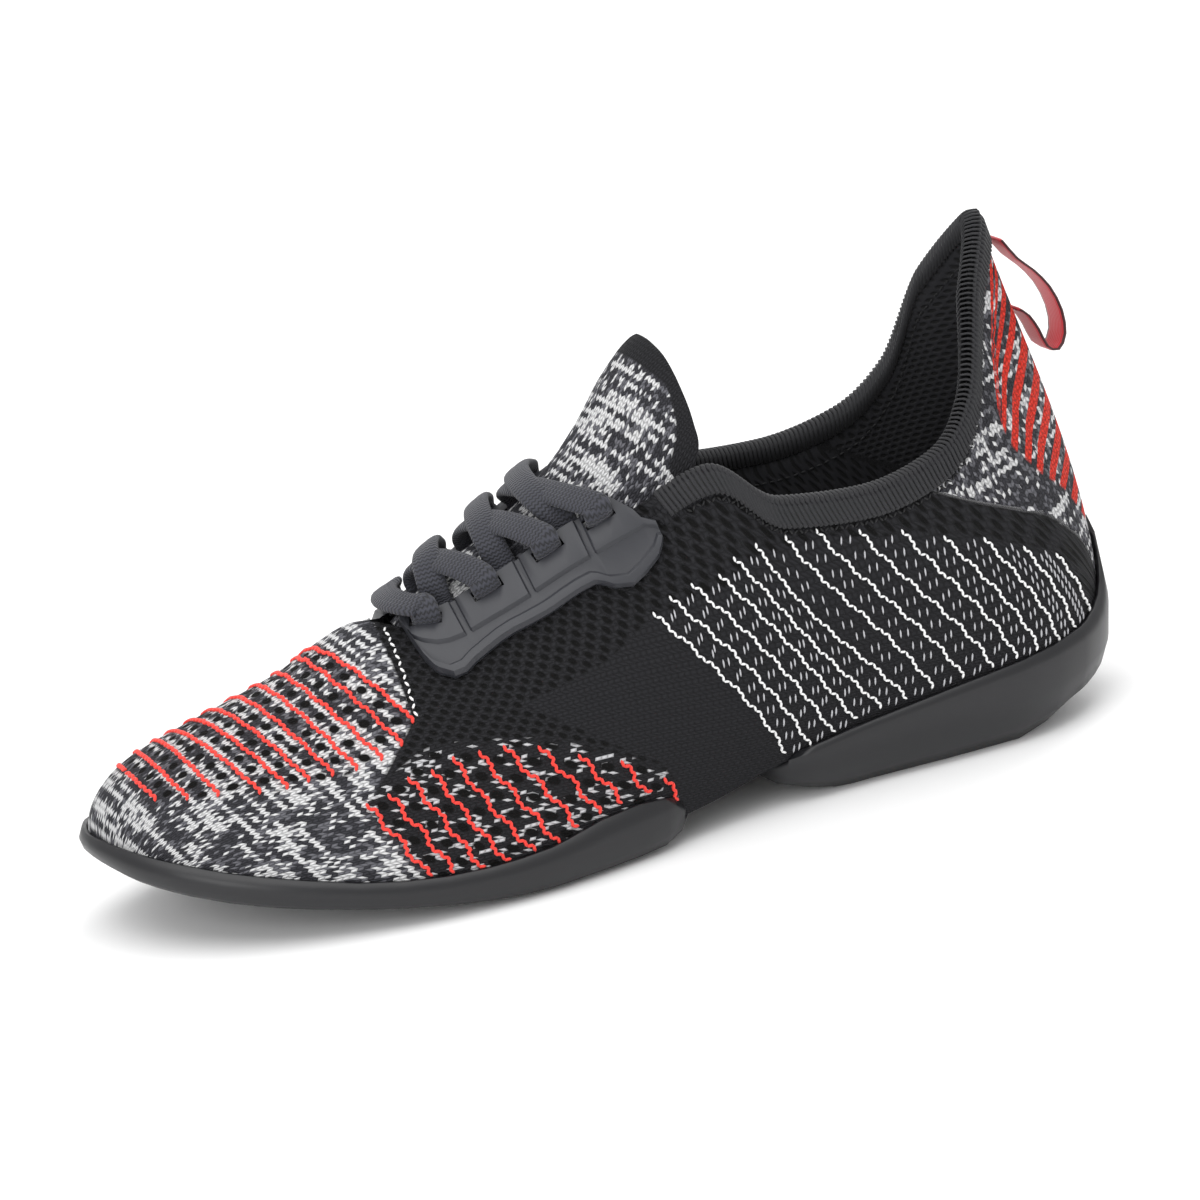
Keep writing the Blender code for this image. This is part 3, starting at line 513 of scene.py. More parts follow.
FINE_WAIST = (
    (6.62, 0.60), (7.90, 0.60), (8.62, 0.66), (9.6, 0.62), (10.2, 0.68), (10.9, 0.80), (11.4, 0.84),
    (12.4, 0.76), (13.3, 0.58), (14.2, 0.36), (14.5, -0.1), (8.1, -0.1), (8.05, 0.20), (7.5, 0.34),
)


def linear(code):
    """An sRGB hex value as a linear colour."""
    parts = [int(code[i:i + 2], 16) / 255 for i in (0, 2, 4)]
    return tuple(c / 12.92 if c <= 0.04045 else ((c + 0.055) / 1.055) ** 2.4 for c in parts) + (1,)


def add(tree, kind, *values, inputs=None, **settings):
    """Adds a node, sets its settings, and fills or links its inputs."""
    made = tree.nodes.new(kind)
    for name, value in settings.items():
        setattr(made, name, value)
    for name, value in {**dict(enumerate(values)), **(inputs or {})}.items():
        if isinstance(value, bpy.types.Node):
            value = value.outputs[0]
        if isinstance(value, bpy.types.NodeSocket):
            tree.links.new(value, made.inputs[name])
        elif value is not None:
            made.inputs[name].default_value = value
    return made


def hole_distance(t, wale, pitch, row, wide, high):
    """Distance to the nearest hole, where every other row is set off by half a pitch."""
    odd = add(t, MATH, add(t, MATH, row, operation="FLOOR"), 1.0, operation="PINGPONG")
    run = add(t, MATH, odd, 0.5, add(t, MATH, wale, pitch, operation="DIVIDE"), operation="MULTIPLY_ADD")
    offsets = []
    for value, size in ((run, wide), (row, high)):
        middle = add(t, MATH, add(t, MATH, value, operation="FRACT"), 0.5, operation="SUBTRACT")
        offsets.append(add(t, MATH, middle, size, operation="MULTIPLY"))
    return add(t, "ShaderNodeVectorMath", add(t, XYZ, *offsets), operation="LENGTH").outputs["Value"]


def finished_material(t, made, colour, height, depth, strength, roughness, **others):
    """Ends a material: its colour, a relief of a depth in metres, and its gloss."""
    shader = t.nodes["Principled BSDF"]
    bump = add(t, "ShaderNodeBump", inputs={"Strength": strength, "Distance": depth, "Height": height})
    t.links.new(bump.outputs[0], shader.inputs["Normal"])
    if isinstance(colour, tuple):
        shader.inputs["Base Color"].default_value = colour
    else:
        t.links.new(colour, shader.inputs["Base Color"])
    for key, value in {"Roughness": roughness, **others}.items():
        shader.inputs[key].default_value = value
    return made


def new_material(name):
    """A material and its node tree."""
    made = bpy.data.materials.new(name)
    made.use_nodes = True
    return made, made.node_tree


def knitted_yarn(name):
    """Weft-knitted polyester: space-dyed marl in front and at the heel, black elsewhere."""
    made, t = new_material(name)
    facts = {key: add(t, "ShaderNodeAttribute", attribute_name=key).outputs["Fac"] for key in KNIT_FACTS}
    zones = {key: add(t, RANGE, facts[f"{key}_zone"], -soft, soft) for key, soft in ZONE_EDGES.items()}
    wale, course, row = facts["wale"], facts["course"], facts["row"]
    w = add(t, MATH, wale, WALE, operation="DIVIDE")
    c = add(t, MATH, course, COURSE, operation="DIVIDE")
    fw = add(t, MATH, w, operation="FRACT")
    lean = add(t, MATH, add(t, MATH, fw, 0.5, operation="SUBTRACT"), operation="ABSOLUTE")
    c = add(t, MATH, lean, LOOP_LEAN, c, operation="MULTIPLY_ADD")
    iw = add(t, MATH, add(t, MATH, w, 2.0, operation="MULTIPLY"), operation="FLOOR")
    ic = add(t, MATH, c, operation="FLOOR")
    chance = add(t, NOISE, add(t, XYZ, iw, ic), noise_dimensions="2D").outputs["Value"]
    tone = add(t, NOISE, inputs={"W": ic}, noise_dimensions="1D").outputs["Value"]
    # the dye changes along the yarn every 10 to 40 mm and from course to course
    at = add(t, XYZ, add(t, MATH, wale, 0.055, operation="MULTIPLY"),
             add(t, MATH, ic, 3.7, operation="MULTIPLY"))
    dye = add(t, "ShaderNodeTexNoise", noise_dimensions="2D",
              inputs={"Vector": at, "Scale": 1.0, "Detail": 1.0})
    dye = add(t, MATH, tone, 0.16, dye, operation="MULTIPLY_ADD")
    streak = add(t, RANGE, dye, 0.56, 0.68, 0.06, 0.80)
    white = add(t, MATH, chance, streak, operation="LESS_THAN")
    grey = add(t, MATH, chance, add(t, MATH, streak, 0.28, operation="ADD"), operation="LESS_THAN")
    # each loop of yarn stands up between two grooves and two courses
    fc = add(t, MATH, add(t, MATH, c, operation="FRACT"), math.pi, operation="MULTIPLY")
    loop = add(t, MATH, add(t, MATH, fc, operation="SINE"), 0.6, operation="POWER")
    legs = add(t, MATH, add(t, MATH, fw, 2 * math.pi, operation="MULTIPLY"), operation="SINE")
    legs = add(t, MATH, add(t, MATH, legs, operation="ABSOLUTE"), 0.5, operation="POWER")
    height = add(t, MATH, loop, legs, operation="MULTIPLY")
    open_row = add(t, MATH, course, OPEN_PITCH * 0.8, operation="DIVIDE")
    # pinholes of the open knit: a dent in the relief, and near-black painted shade in the colour
    pin = add(t, RANGE, hole_distance(t, wale, OPEN_PITCH, open_row, 1.0, 0.8), 0.20, 0.36, 1.0, 0.0)
    pin = add(t, MATH, pin, zones["open"], operation="MULTIPLY")
    fleck = add(t, MATH, chance, 0.20, operation="LESS_THAN")
    fleck = add(t, MATH, zones["side"], fleck, operation="MULTIPLY")
    # pointelle holes halfway between two red rows
    hole = add(t, RANGE, hole_distance(t, wale, HOLE_PITCH, row, HOLE_PITCH, 5.0), 0.85, 1.2, 1.0, 0.0)
    hole = add(t, MATH, hole, zones["row"], operation="MULTIPLY")
    bar = add(t, MATH, add(t, MATH, facts["bar"], operation="FRACT"), 0.5, operation="SUBTRACT")
    bar = add(t, RANGE, add(t, MATH, bar, operation="ABSOLUTE"), 0.23, 0.26)
    bar = add(t, MATH, bar, zones["bar"], operation="MULTIPLY")
    marl = linear("37373c")
    for share, code in ((grey, "69696f"), (white, "dededf")):
        marl = add(t, MIX, data_type="RGBA", inputs={0: share, 6: marl, 7: linear(code)}).outputs[2]
    colour = linear("242427")
    for share, over in (
        # pin paints near-black shade into the pinholes; the other colours are yarns
        (pin, linear("040404")), (fleck, linear("c9c9cc")), (zones["marl"], marl),
        (bar, linear("e23a2c")), (zones["bound"], linear("27272a")),
    ):
        colour = add(t, MIX, data_type="RGBA", inputs={0: share, 6: colour, 7: over}).outputs[2]
    # the colour is darkened in the grooves between the loops: painted shade, on top of the relief
    shade = add(t, RANGE, height, 0.0, 1.0, 0.45, 1.0)
    shade = add(t, "ShaderNodeCombineColor", shade, shade, shade)
    colour = add(t, MIX, data_type="RGBA", blend_type="MULTIPLY", inputs={0: 1.0, 6: colour, 7: shade})
    knitted = add(t, MATH, 1.0, zones["bound"], operation="SUBTRACT")
    hole = add(t, MATH, hole, knitted, operation="MULTIPLY")
    # the pointelle holes are near black: the black lining seen through them, deepened with painted shade
    colour = add(t, MIX, data_type="RGBA", inputs={0: hole, 6: colour.outputs[2], 7: linear("030303")})
    deep = add(t, MATH, add(t, MATH, hole, pin, operation="MAXIMUM"), 2.5, operation="MULTIPLY")
    relief = add(t, MATH, height, deep, operation="SUBTRACT")
    return finished_material(t, made, colour.outputs[2], relief, 0.0004, 0.8, 0.9,
                             **{"Specular IOR Level": 0.25})


def plain_material(name, code, roughness, sheen=0.0, grain=0.0, grain_depth=0.0):
    """One colour with a fine grain in the surface, its size in millimetres."""
    made, t = new_material(name)
    if grain:
        place = add(t, "ShaderNodeTexCoord").outputs["Object"]
        noise = add(t, "ShaderNodeTexNoise", inputs={"Vector": place, "Scale": 1000 / grain, "Detail": 2.0})
        finished_material(t, made, linear(code), noise.outputs[0], grain_depth / 1000, 0.5, roughness)
    shader = t.nodes["Principled BSDF"]
    shader.inputs["Base Color"].default_value = linear(code)
    shader.inputs["Roughness"].default_value = roughness
    shader.inputs["Sheen Weight"].default_value = sheen
    return made


def lining_mesh():
    """Black spacer mesh: a honeycomb of small holes over foam."""
    made, t = new_material("black spacer mesh")
    wale, course = (add(t, "ShaderNodeAttribute", attribute_name=key).outputs["Fac"]
                    for key in ("wale", "course"))
    gap = hole_distance(t, wale, 1.8, add(t, MATH, course, 1.5, operation="DIVIDE"), 1.0, 1.0)
    pit = add(t, RANGE, gap, 0.22, 0.42).outputs[0]
    # the holes are darker than the strands around them: painted shade in the pits
    colour = add(t, MIX, data_type="RGBA", inputs={0: pit, 6: linear("050506"), 7: linear("1e1e22")})
    return finished_material(t, made, colour.outputs[2], pit, 0.0004, 0.7, 0.85)


def braided_cord():
    """Polyester flat lace: a tight tubular braid whose picks show as cross ribs."""
    made, t = new_material("braided polyester lace")
    run, across = (add(t, "ShaderNodeAttribute", attribute_name=key).outputs["Fac"]
                   for key in ("run", "across"))
    side = add(t, MATH, add(t, MATH, across, 1.2, operation="DIVIDE"), operation="FRACT")
    side = add(t, MATH, add(t, MATH, side, 0.5, operation="SUBTRACT"), operation="ABSOLUTE")
    ribs = add(t, MATH, side, 0.9, add(t, MATH, run, 0.95, operation="DIVIDE"), operation="MULTIPLY_ADD")
    ribs = add(t, MATH, add(t, MATH, ribs, operation="FRACT"), math.pi, operation="MULTIPLY")
    pick = add(t, MATH, ribs, operation="SINE").outputs[0]
    # the ribs are lighter on their crests and darker between them: painted highlight and shade that follow
    # the relief
    colour = add(t, MIX, data_type="RGBA", inputs={0: pick, 6: linear("131417"), 7: linear("393a43")})
    return finished_material(t, made, colour.outputs[2], pick, 0.0003, 0.7, 0.8,
                             **{"Sheen Weight": 0.15})


def woven_ribbon():
    """Woven polyester ribbon: red with dark selvedges."""
    made, t = new_material("woven red ribbon")
    place = add(t, "ShaderNodeSeparateXYZ", add(t, "ShaderNodeTexCoord").outputs["Object"])
    out = add(t, MATH, place.outputs[1], operation="ABSOLUTE")
    edge = add(t, MATH, out, 0.40 * LOOP_WIDTH, operation="GREATER_THAN")
    colour = add(t, MIX, data_type="RGBA", inputs={0: edge, 6: linear("c0303a"), 7: linear("3a1216")})
    rib = add(t, MATH, place.outputs[1], 2 * math.pi / 0.0008, operation="MULTIPLY")
    rib = add(t, MATH, rib, operation="SINE").outputs[0]
    return finished_material(t, made, colour.outputs[2], rib, 0.0001, 0.3, 0.55,
                             **{"Sheen Weight": 0.2})


def zone_distance(outline, station, rise):
    """Distance in millimetres into an outline, negative outside it."""
    scale = np.array([17.0, 75.0])
    p = np.stack([station, rise], -1) * scale
    corners = np.array(outline, float) * scale
    nearest = np.full(len(p), 1e9)
    within = np.zeros(len(p), bool)
    for a, b in zip(corners, np.roll(corners, -1, axis=0)):
        edge = b - a
        t = np.clip(((p - a) @ edge) / (edge @ edge), 0, 1)
        nearest = np.minimum(nearest, np.linalg.norm(p - a - t[:, None] * edge, axis=1))
        crosses = (a[1] > p[:, 1]) != (b[1] > p[:, 1])
        at = a[0] + (p[:, 1] - a[1]) / (edge[1] if edge[1] else 1e-9) * edge[0]
        within ^= crosses & (p[:, 0] < at)
    return np.where(within, nearest, -nearest)


def row_plane(row):
    """A vamp row lies in the plane through its ends that stands square to the vamp."""
    s0, r0, s1, r1 = row
    start, end = surface(LATERAL, s0, r0), surface(LATERAL, s1, r1)
    n = np.cross(end - start, normal(LATERAL, (s0 + s1) / 2, (r0 + r1) / 2))
    n /= np.linalg.norm(n)
    return start, n * np.sign(n[0])


def vamp_number(points):
    """How many vamp rows lie before each point, with the share to the next one."""
    past = [(points - start) @ n for start, n in map(row_plane, VAMP_ROWS)]
    total = np.zeros(len(points))
    for a, b in zip(past, past[1:]):
        total += np.where(a > 0, np.where(b > 0, 1.0, a / np.maximum(a - b, 1e-6)), 0.0)
    return np.where((past[0] < 0) | (past[-1] > 0), 0.02, total)


def plane_run(side, row):
    """Stations and rises along a vamp row on one side, up to the ridge or the toe."""
    start, n = row_plane(row)
    stations, rises = np.linspace(0, 6.2, 125), np.linspace(row[3], 1.0, 70)
    past = (surface(side, stations[None, :], rises[:, None]) - start) @ n
    found = []
    for r, line in zip(rises, past):
        k = np.flatnonzero((line[:-1] <= 0) & (line[1:] > 0))
        if len(k):
            k = k[0]
            step = stations[k + 1] - stations[k]
            found.append((stations[k] - line[k] * step / (line[k + 1] - line[k]), r))
    return np.array(found)


def row_number(rows, station, rise):
    """How many rows lie before a point, with the share of the way to the next one."""
    lines = []
    for s0, r0, s1, r1 in rows:
        lines.append(s0 + (s1 - s0) * np.clip((r0 - rise) / (r0 - r1), -1.5, 1.6))
    total = np.zeros_like(station)
    for a, b in zip(lines, lines[1:]):
        total += np.clip((station - a) / np.maximum(b - a, 1e-3), 0, 1)
    outside = (station < lines[0]) | (station > lines[-1])
    return np.where(outside, 0.02, total)


def bar_number(station, rise):
    """The heel's bars counted from the collar down, with the share to the next one."""
    heights = []
    for s, r, end in HEEL_BARS:
        heights.append(r + (end - r) * (station - s) / (LAST_STATION - s))
    total = np.zeros_like(station)
    for a, b in zip(heights, heights[1:]):
        total += np.clip((a - rise) / np.maximum(a - b, 1e-3), 0, 1)
    total = np.where(rise > heights[0], (heights[0] - rise) / 0.07, total)
    return np.where(rise < heights[-1], 9 + (heights[-1] - rise) / 0.07, total)


def course_direction():
    """The direction along which the courses follow each other, from the red rows."""
    lines, values = [], []
    for k, (s0, r0, s1, r1) in enumerate(VAMP_ROWS):
        for s, r in ((s0, r0), (s1, r1)):
            p = surface(LATERAL, s, r)
            lines.append([p[0], p[2], 1.0])
            values.append(k)
    fit = np.linalg.lstsq(np.array(lines), np.array(values), rcond=None)[0]
    d = np.array([fit[0], 0, fit[1]])
    return d / np.linalg.norm(d)


def new_object(name, points, faces=()):
    """An object in the scene with a mesh of given points and faces."""
    mesh = bpy.data.meshes.new(name)
    mesh.from_pydata([tuple(p) for p in points], [], faces)
    made = bpy.data.objects.new(name, mesh)
    bpy.context.scene.collection.objects.link(made)
    return made


def set_values(item, **values):
    """Keeps one number for each point of a mesh, for its material to read."""
    for name, data in values.items():
        made = item.data.attributes.new(name, "FLOAT", "POINT")
        made.data.foreach_set("value", np.asarray(data, np.float32))


def grid_mesh(name, rows, facts):
    """A skin over rows of points that keeps each point's facts."""
    index, points, kept, faces = {}, [], [], []

    def vertex(p, fact):
        key = tuple(int(round(c * 4e6)) for c in p)
        if key not in index:
            index[key] = len(points)
            points.append([float(c) for c in p])
            kept.append(fact)
        return index[key]

    ids = [[vertex(p, f) for p, f in zip(row, fact)] for row, fact in zip(rows, facts)]
    for a, b in zip(ids, ids[1:]):
        for j in range(len(a) - 1):
            corners = list(dict.fromkeys((a[j], a[j + 1], b[j + 1], b[j])))
            if len(corners) > 2:
                faces.append(corners)
    return new_object(name, points, faces), np.array(points), np.array(kept)


def smooth_faces(item, angle=40):
    """Smooth shading, with edges sharp above an angle in degrees."""
    item.data.shade_smooth()
    item.data.set_sharp_from_angle(angle=math.radians(angle))
    return item


def knitted_shell(yarn, lining):
    """The upper on a fine grid, with the zones of its knit kept as values."""
    stations = np.arange(0, LAST_STATION + 1e-6, SHELL_STEP)
    rows, facts = [], []
    for station in stations:
        halves, half_facts = [], []
        for side in (LATERAL, MEDIAL):
            chord = np.linalg.norm(top_point(side, station) - foot_point(side, station))
            depths = (0, EDGING_ROUND, EDGING_HEIGHT - EDGING_ROUND, EDGING_HEIGHT)
            depths = [min(d, 0.6 * chord) for d in depths]
            rises = [rise_below_top(side, station, d) for d in depths]
            rises += list(rises[-1] * (1 - np.arange(1, SHELL_STEPS + 1) / SHELL_STEPS))
            share = edging_share(station)
            extra = np.zeros(len(rises))
            extra[:3] = np.array([0.3, 1.0, 1.0]) * EDGING_STEP * share
            rises = np.array(rises)
            points = skin(side, np.full(len(rises), station), rises, extra)
            halves.append(list(points))
            half_facts.append([(station, r, side, k) for k, r in enumerate(rises)])
        a, b = halves[0][-1], halves[1][-1]
        floor = [a + (b - a) * s for s in (0.25, 0.5, 0.75)]
        floor_facts = [(station, 0.0, 0, 99)] * 3
        rows.append(halves[0] + floor + halves[1][::-1])
        facts.append(half_facts[0] + floor_facts + half_facts[1][::-1])
    shell, points, kept = grid_mesh("knitted_upper", rows, facts)
    station, rise, _, order = kept.T
    course = points @ course_direction() * 1000
    wale = np.arctan2(points[:, 1], points[:, 2] - 0.005) * 40
    heel = zone_distance(HEEL_MARL, station, rise) > 0
    course = np.where(heel, points[:, 2] * 1000 - 2.2 * station, course)
    wale = np.where(heel, station * 11.0, wale)
    vamp = vamp_number(points)
    side = row_number(SIDE_ROWS, station, rise)
    on_side = zone_distance(SIDE_PATCH, station, rise)
    on_vamp = zone_distance(VAMP_PATCH, station, rise)
    front = zone_distance(MARL_FRONT, station, rise)
    fine = zone_distance(FINE_WAIST, station, rise)
    set_values(
        shell,
        course=course, wale=wale,
        row=np.where(on_side > 0, side, vamp),
        row_zone=np.maximum(on_vamp, on_side) - 0.5,
        side_zone=on_side,
        marl_zone=np.maximum(front, zone_distance(HEEL_MARL, station, rise)),
        open_zone=-np.maximum(fine, np.maximum(front, on_side)),
        bar=bar_number(station, rise),
        bar_zone=zone_distance(HEEL_FIELD, station, rise),
        bound_zone=np.where((order < 4) & (station > EDGING_FROM[0]), 1.0, -1.0),
    )
    group = shell.vertex_groups.new(name="wall")
    for i, (s, r) in enumerate(zip(station, rise)):
        group.add([i], wall_share(s, r), "REPLACE")
    shell.data.materials.append(yarn)
    shell.data.materials.append(lining)
    wall = shell.modifiers.new("wall", "SOLIDIFY")
    wall.thickness = PADDED_WALL
    wall.vertex_group = "wall"
    wall.offset = -1
    wall.use_even_offset = True
    wall.material_offset = 1
    apply_modifiers(shell)
    return smooth_faces(shell)


def spline_rows(rows, parts):
    """Rows between given rows, on a smooth run through them."""
    made = []
    for i in range(len(rows) - 1):
        before, a = rows[max(i - 1, 0)], rows[i]
        b, after = rows[i + 1], rows[min(i + 2, len(rows) - 1)]
        for k in range(parts):
            t = k / parts
            made.append(0.5 * (2 * a + (b - before) * t + (2 * before - 5 * a + 4 * b - after) * t * t
                               + (3 * a - before - 3 * b + after) * t**3))
    return made + [rows[-1]]


def knitted_tongue(yarn):
    """The tongue on a fine grid, with a smooth binding along its free edge."""
    rows = spline_rows([np.array(tongue_row(values, 14)) for values in TONGUE_ROWS], 8)
    facts = []
    for i, row in enumerate(rows):
        along = np.concatenate([[0], np.cumsum(np.linalg.norm(np.diff(row, axis=0), axis=1))])
        facts.append([(i, a, along[-1] - a, 0) for a in along])
    rows = [list(row[::-1]) for row in rows]
    facts = [fact[::-1] for fact in facts]
    tongue, points, kept = grid_mesh("knitted_tongue", rows, facts)
    number, left, right, _ = kept.T
    middle = np.array([row[len(row) // 2] for row in rows])
    run = np.concatenate([[0], np.cumsum(np.linalg.norm(np.diff(middle, axis=0), axis=1))])
    down = (run[-1] - run[number.astype(int)]) * 1000
    edge = np.minimum(np.minimum(left, right) * 1000, down)
    free = number > 8 * 5.4
    off = np.full(len(points), -5.0)
    set_values(
        tongue,
        course=run[number.astype(int)] * 1000, wale=(left - right) * 500, row=0 * off, bar=0 * off,
        row_zone=off, side_zone=off, marl_zone=-off, open_zone=off, bar_zone=off,
        bound_zone=np.where(free, 6.5 - edge, -1.0),
    )
    tongue.data.materials.append(yarn)
    wall = tongue.modifiers.new("wall", "SOLIDIFY")
    wall.thickness = TONGUE_THICKNESS
    wall.offset = -1
    wall.use_even_offset = False
    apply_modifiers(tongue)
    return smooth_faces(tongue)


def stitch_tree():
    """Geometry Nodes that set a small yarn loop on each point."""
    tree = bpy.data.node_groups.new("yarn loops", "GeometryNodeTree")
    for name, flow, kind in (
        ("Geometry", "INPUT", "Geometry"), ("Length", "INPUT", "Float"), ("Width", "INPUT", "Float"),
        ("Height", "INPUT", "Float"), ("Yarn", "INPUT", "Material"), ("Geometry", "OUTPUT", "Geometry"),
    ):
        tree.interface.new_socket(name, in_out=flow, socket_type="NodeSocket" + kind)
    given = add(tree, "NodeGroupInput").outputs
    points = add(tree, "GeometryNodeMeshToPoints", given["Geometry"])
    loop = add(tree, "GeometryNodeMeshUVSphere", inputs={"Segments": 6, "Rings": 4, "Radius": 0.5})
    run, face = (add(tree, "GeometryNodeInputNamedAttribute", name, data_type="FLOAT_VECTOR")
                 for name in ("yarn_run", "yarn_face"))
    turned = add(tree, "FunctionNodeAlignRotationToVector", inputs={"Vector": run}, axis="X")
    turned = add(tree, "FunctionNodeAlignRotationToVector", inputs={"Rotation": turned, "Vector": face},
                 axis="Z", pivot_axis="X")
    size = add(tree, XYZ, given["Length"], given["Width"], given["Height"])
    placed = add(tree, "GeometryNodeInstanceOnPoints", inputs={
        "Points": points, "Instance": loop, "Rotation": turned, "Scale": size})
    real = add(tree, "GeometryNodeRealizeInstances", placed)
    painted = add(tree, "GeometryNodeSetMaterial", inputs={"Geometry": real, "Material": given["Yarn"]})
    add(tree, "NodeGroupOutput", add(tree, "GeometryNodeSetShadeSmooth", painted))
    return tree


def set_loops(name, tree, loops, size, yarn):
    """Yarn loops at given points: each has a place, a run and a face direction."""
    item = new_object(name, [p for p, _, _ in loops])
    for key, column in (("yarn_run", 1), ("yarn_face", 2)):
        made = item.data.attributes.new(key, "FLOAT_VECTOR", "POINT")
        made.data.foreach_set("vector", np.array([loop[column] for loop in loops], np.float32).ravel())
    nodes = item.modifiers.new("loops", "NODES")
    nodes.node_group = tree
    values = dict(zip(("Length", "Width", "Height"), size), Yarn=yarn)
    for socket in tree.interface.items_tree:
        if socket.in_out == "INPUT" and socket.name in values:
            nodes[socket.identifier] = values[socket.name]
    apply_modifiers(item)
    return item


def row_loops(side, ends, pitch, angle, wave=0.0, lift=0.0002):
    """Loops that zigzag along one row of the knit, given as stations and rises."""
    ends = np.array(ends)
    if len(ends) < 2:
        return []
    share = np.linspace(0, len(ends) - 1, 120)
    s, r = (np.interp(share, range(len(ends)), ends[:, c]) for c in (0, 1))
    points = surface(side, s, r)
    length = np.linalg.norm(np.diff(points, axis=0), axis=1)
    run = np.concatenate([[0], np.cumsum(length)])
    count = max(2, int(run[-1] / pitch))
    at = np.linspace(0, run[-1], count)
    r = np.interp(at, run, r)
    s = np.maximum(np.interp(at, run, s) + wave * np.sin(at / 0.0014), 0)
    face = normal(side, s, r)
    place = surface(side, s, r) + face * lift
    ahead = np.gradient(place, axis=0)
    loops = []
    for k in range(count):
        d = ahead[k] / np.linalg.norm(ahead[k])
        n = face[k]
        turn = angle if k % 2 else -angle
        loops.append((place[k], d * math.cos(turn) + np.cross(n, d) * math.sin(turn), n))
    return loops


def row_ends(row):
    """A row's two ends, each as a station and a rise."""
    return [(row[0], row[1]), (row[2], row[3])]


def tuck_loops(side, random):
    """Short floats of light yarn between the white rows."""
    stations, rises = [], []
    for a, b in zip(WHITE_ROWS, WHITE_ROWS[1:]):
        for t in np.arange(0.06, 1.0, 0.085):
            for shift in (-0.11, 0.11):
                at = t + random.uniform(-0.01, 0.01)
                before, after = a[0] + (a[2] - a[0]) * at, b[0] + (b[2] - b[0]) * at
                stations.append(before * (0.5 - shift) + after * (0.5 + shift))
                rises.append((a[1] + (a[3] - a[1]) * at + b[1] + (b[3] - b[1]) * at) / 2)
    s, r = np.array(stations), np.array(rises)
    faces = normal(side, s, r)
    ahead = surface(side, s + 0.02, r + 0.02) - surface(side, s - 0.02, r - 0.02)
    ahead /= np.linalg.norm(ahead, axis=-1, keepdims=True)
    return list(zip(surface(side, s, r) + faces * 0.0001, ahead, faces))


def along_rim(side, stations, depth, offset):
    """Points at a depth below the top edge, all along it."""
    rises = np.linspace(0, 1, 41)
    points = surface(side, stations[None, :], rises[:, None])
    steps = np.linalg.norm(np.diff(points, axis=0), axis=-1)[::-1]
    from_top = np.concatenate([np.zeros((1, len(stations))), np.cumsum(steps, axis=0)])
    at = np.array([np.interp(max(depth, 0), column, rises[::-1]) for column in from_top.T])
    placed = skin(side, stations, at, np.broadcast_to(offset, stations.shape))
    up = surface(side, stations, 1.0) - surface(side, stations, 0.97)
    up /= np.linalg.norm(up, axis=-1, keepdims=True)
    return placed - up * min(depth, 0)


def edging_ribs(yarn):
    """The overlocked edge of the collar: close diagonal ribs over its rim."""
    points, faces = [], []
    for side in (LATERAL, MEDIAL):
        fine = np.linspace(EDGING_FROM[0] + RIB_LEAN, LAST_STATION, 900)
        rim = surface(side, fine, 1.0)
        run = np.concatenate([[0], np.cumsum(np.linalg.norm(np.diff(rim, axis=0), axis=1))])
        stations = np.interp(np.linspace(0, run[-1], int(run[-1] / RIB_PITCH)), run, fine)
        share = np.array([edging_share(s) for s in stations])
        wall = np.array([PADDED_WALL * wall_share(s, 1.0) for s in stations])
        paths, outs = [], []
        for k in range(8):
            depth = EDGING_HEIGHT * (1 - k / 7)
            shifted = np.minimum(stations + RIB_LEAN * (1 - k / 7), LAST_STATION)
            step = EDGING_STEP * (1.0 if depth > EDGING_ROUND else 0.5)
            paths.append(along_rim(side, shifted, depth, step * share + 0.0001))
            outs.append(normal(side, shifted, 0.97))
        n = normal(side, stations, 0.97)
        up = surface(side, stations, 1.0) - surface(side, stations, 0.97)
        up /= np.linalg.norm(up, axis=-1, keepdims=True)
        rim = surface(side, stations, 1.0)
        for part in (0.25, 0.75):
            paths.append(rim - n * (wall * part)[:, None] + up * 0.0003)
            outs.append(up)
        for depth in (0.001, 0.005):
            paths.append(along_rim(side, stations, depth, -wall - 0.0002))
            outs.append(-n)
        for path, out in zip(np.swapaxes(paths, 0, 1), np.swapaxes(outs, 0, 1)):
            along = np.gradient(path, axis=0)
            width = np.cross(out, along)
            width /= np.linalg.norm(width, axis=1, keepdims=True)
            base = len(points)
            for p, w, n in zip(path, width, out):
                for x, y in ((-1, -0.3), (-0.55, 0.75), (0.55, 0.75), (1, -0.3)):
                    points.append(tuple(p + w * x * RIB_WIDE + n * y * RIB_HIGH))
            for i in range(len(path) - 1):
                a = base + 4 * i
                faces += [(a + j, a + (j + 1) % 4, a + 4 + (j + 1) % 4, a + 4 + j) for j in range(4)]
            faces.append(tuple(base + j for j in (3, 2, 1, 0)))
            faces.append(tuple(base + 4 * (len(path) - 1) + j for j in range(4)))
    item = face_outwards(new_object("edging_ribs", points, faces))
    item.data.materials.append(yarn)
    item.data.shade_smooth()
    return item


def seam_loops(side, depth, offset, pitch, slant):
    """Stitches of a seam that follows the collar's edge at a given depth."""
    fine = np.linspace(EDGING_FROM[1], LAST_STATION - 0.02, 500)
    points = along_rim(side, fine, depth, offset)
    run = np.concatenate([[0], np.cumsum(np.linalg.norm(np.diff(points, axis=0), axis=1))])
    stations = np.interp(np.arange(0, run[-1], pitch), run, fine)
    points = along_rim(side, stations, depth, offset)
    faces = normal(side, stations, 0.9) * (1 if offset >= 0 else -1)
    ahead = np.gradient(points, axis=0)
    loops = []
    for k, (p, d, n) in enumerate(zip(points, ahead, faces)):
        d = d / np.linalg.norm(d)
        turn = slant if k % 2 else -slant
        loops.append((p, d * math.cos(turn) + np.cross(n, d) * math.sin(turn), n))
    return loops


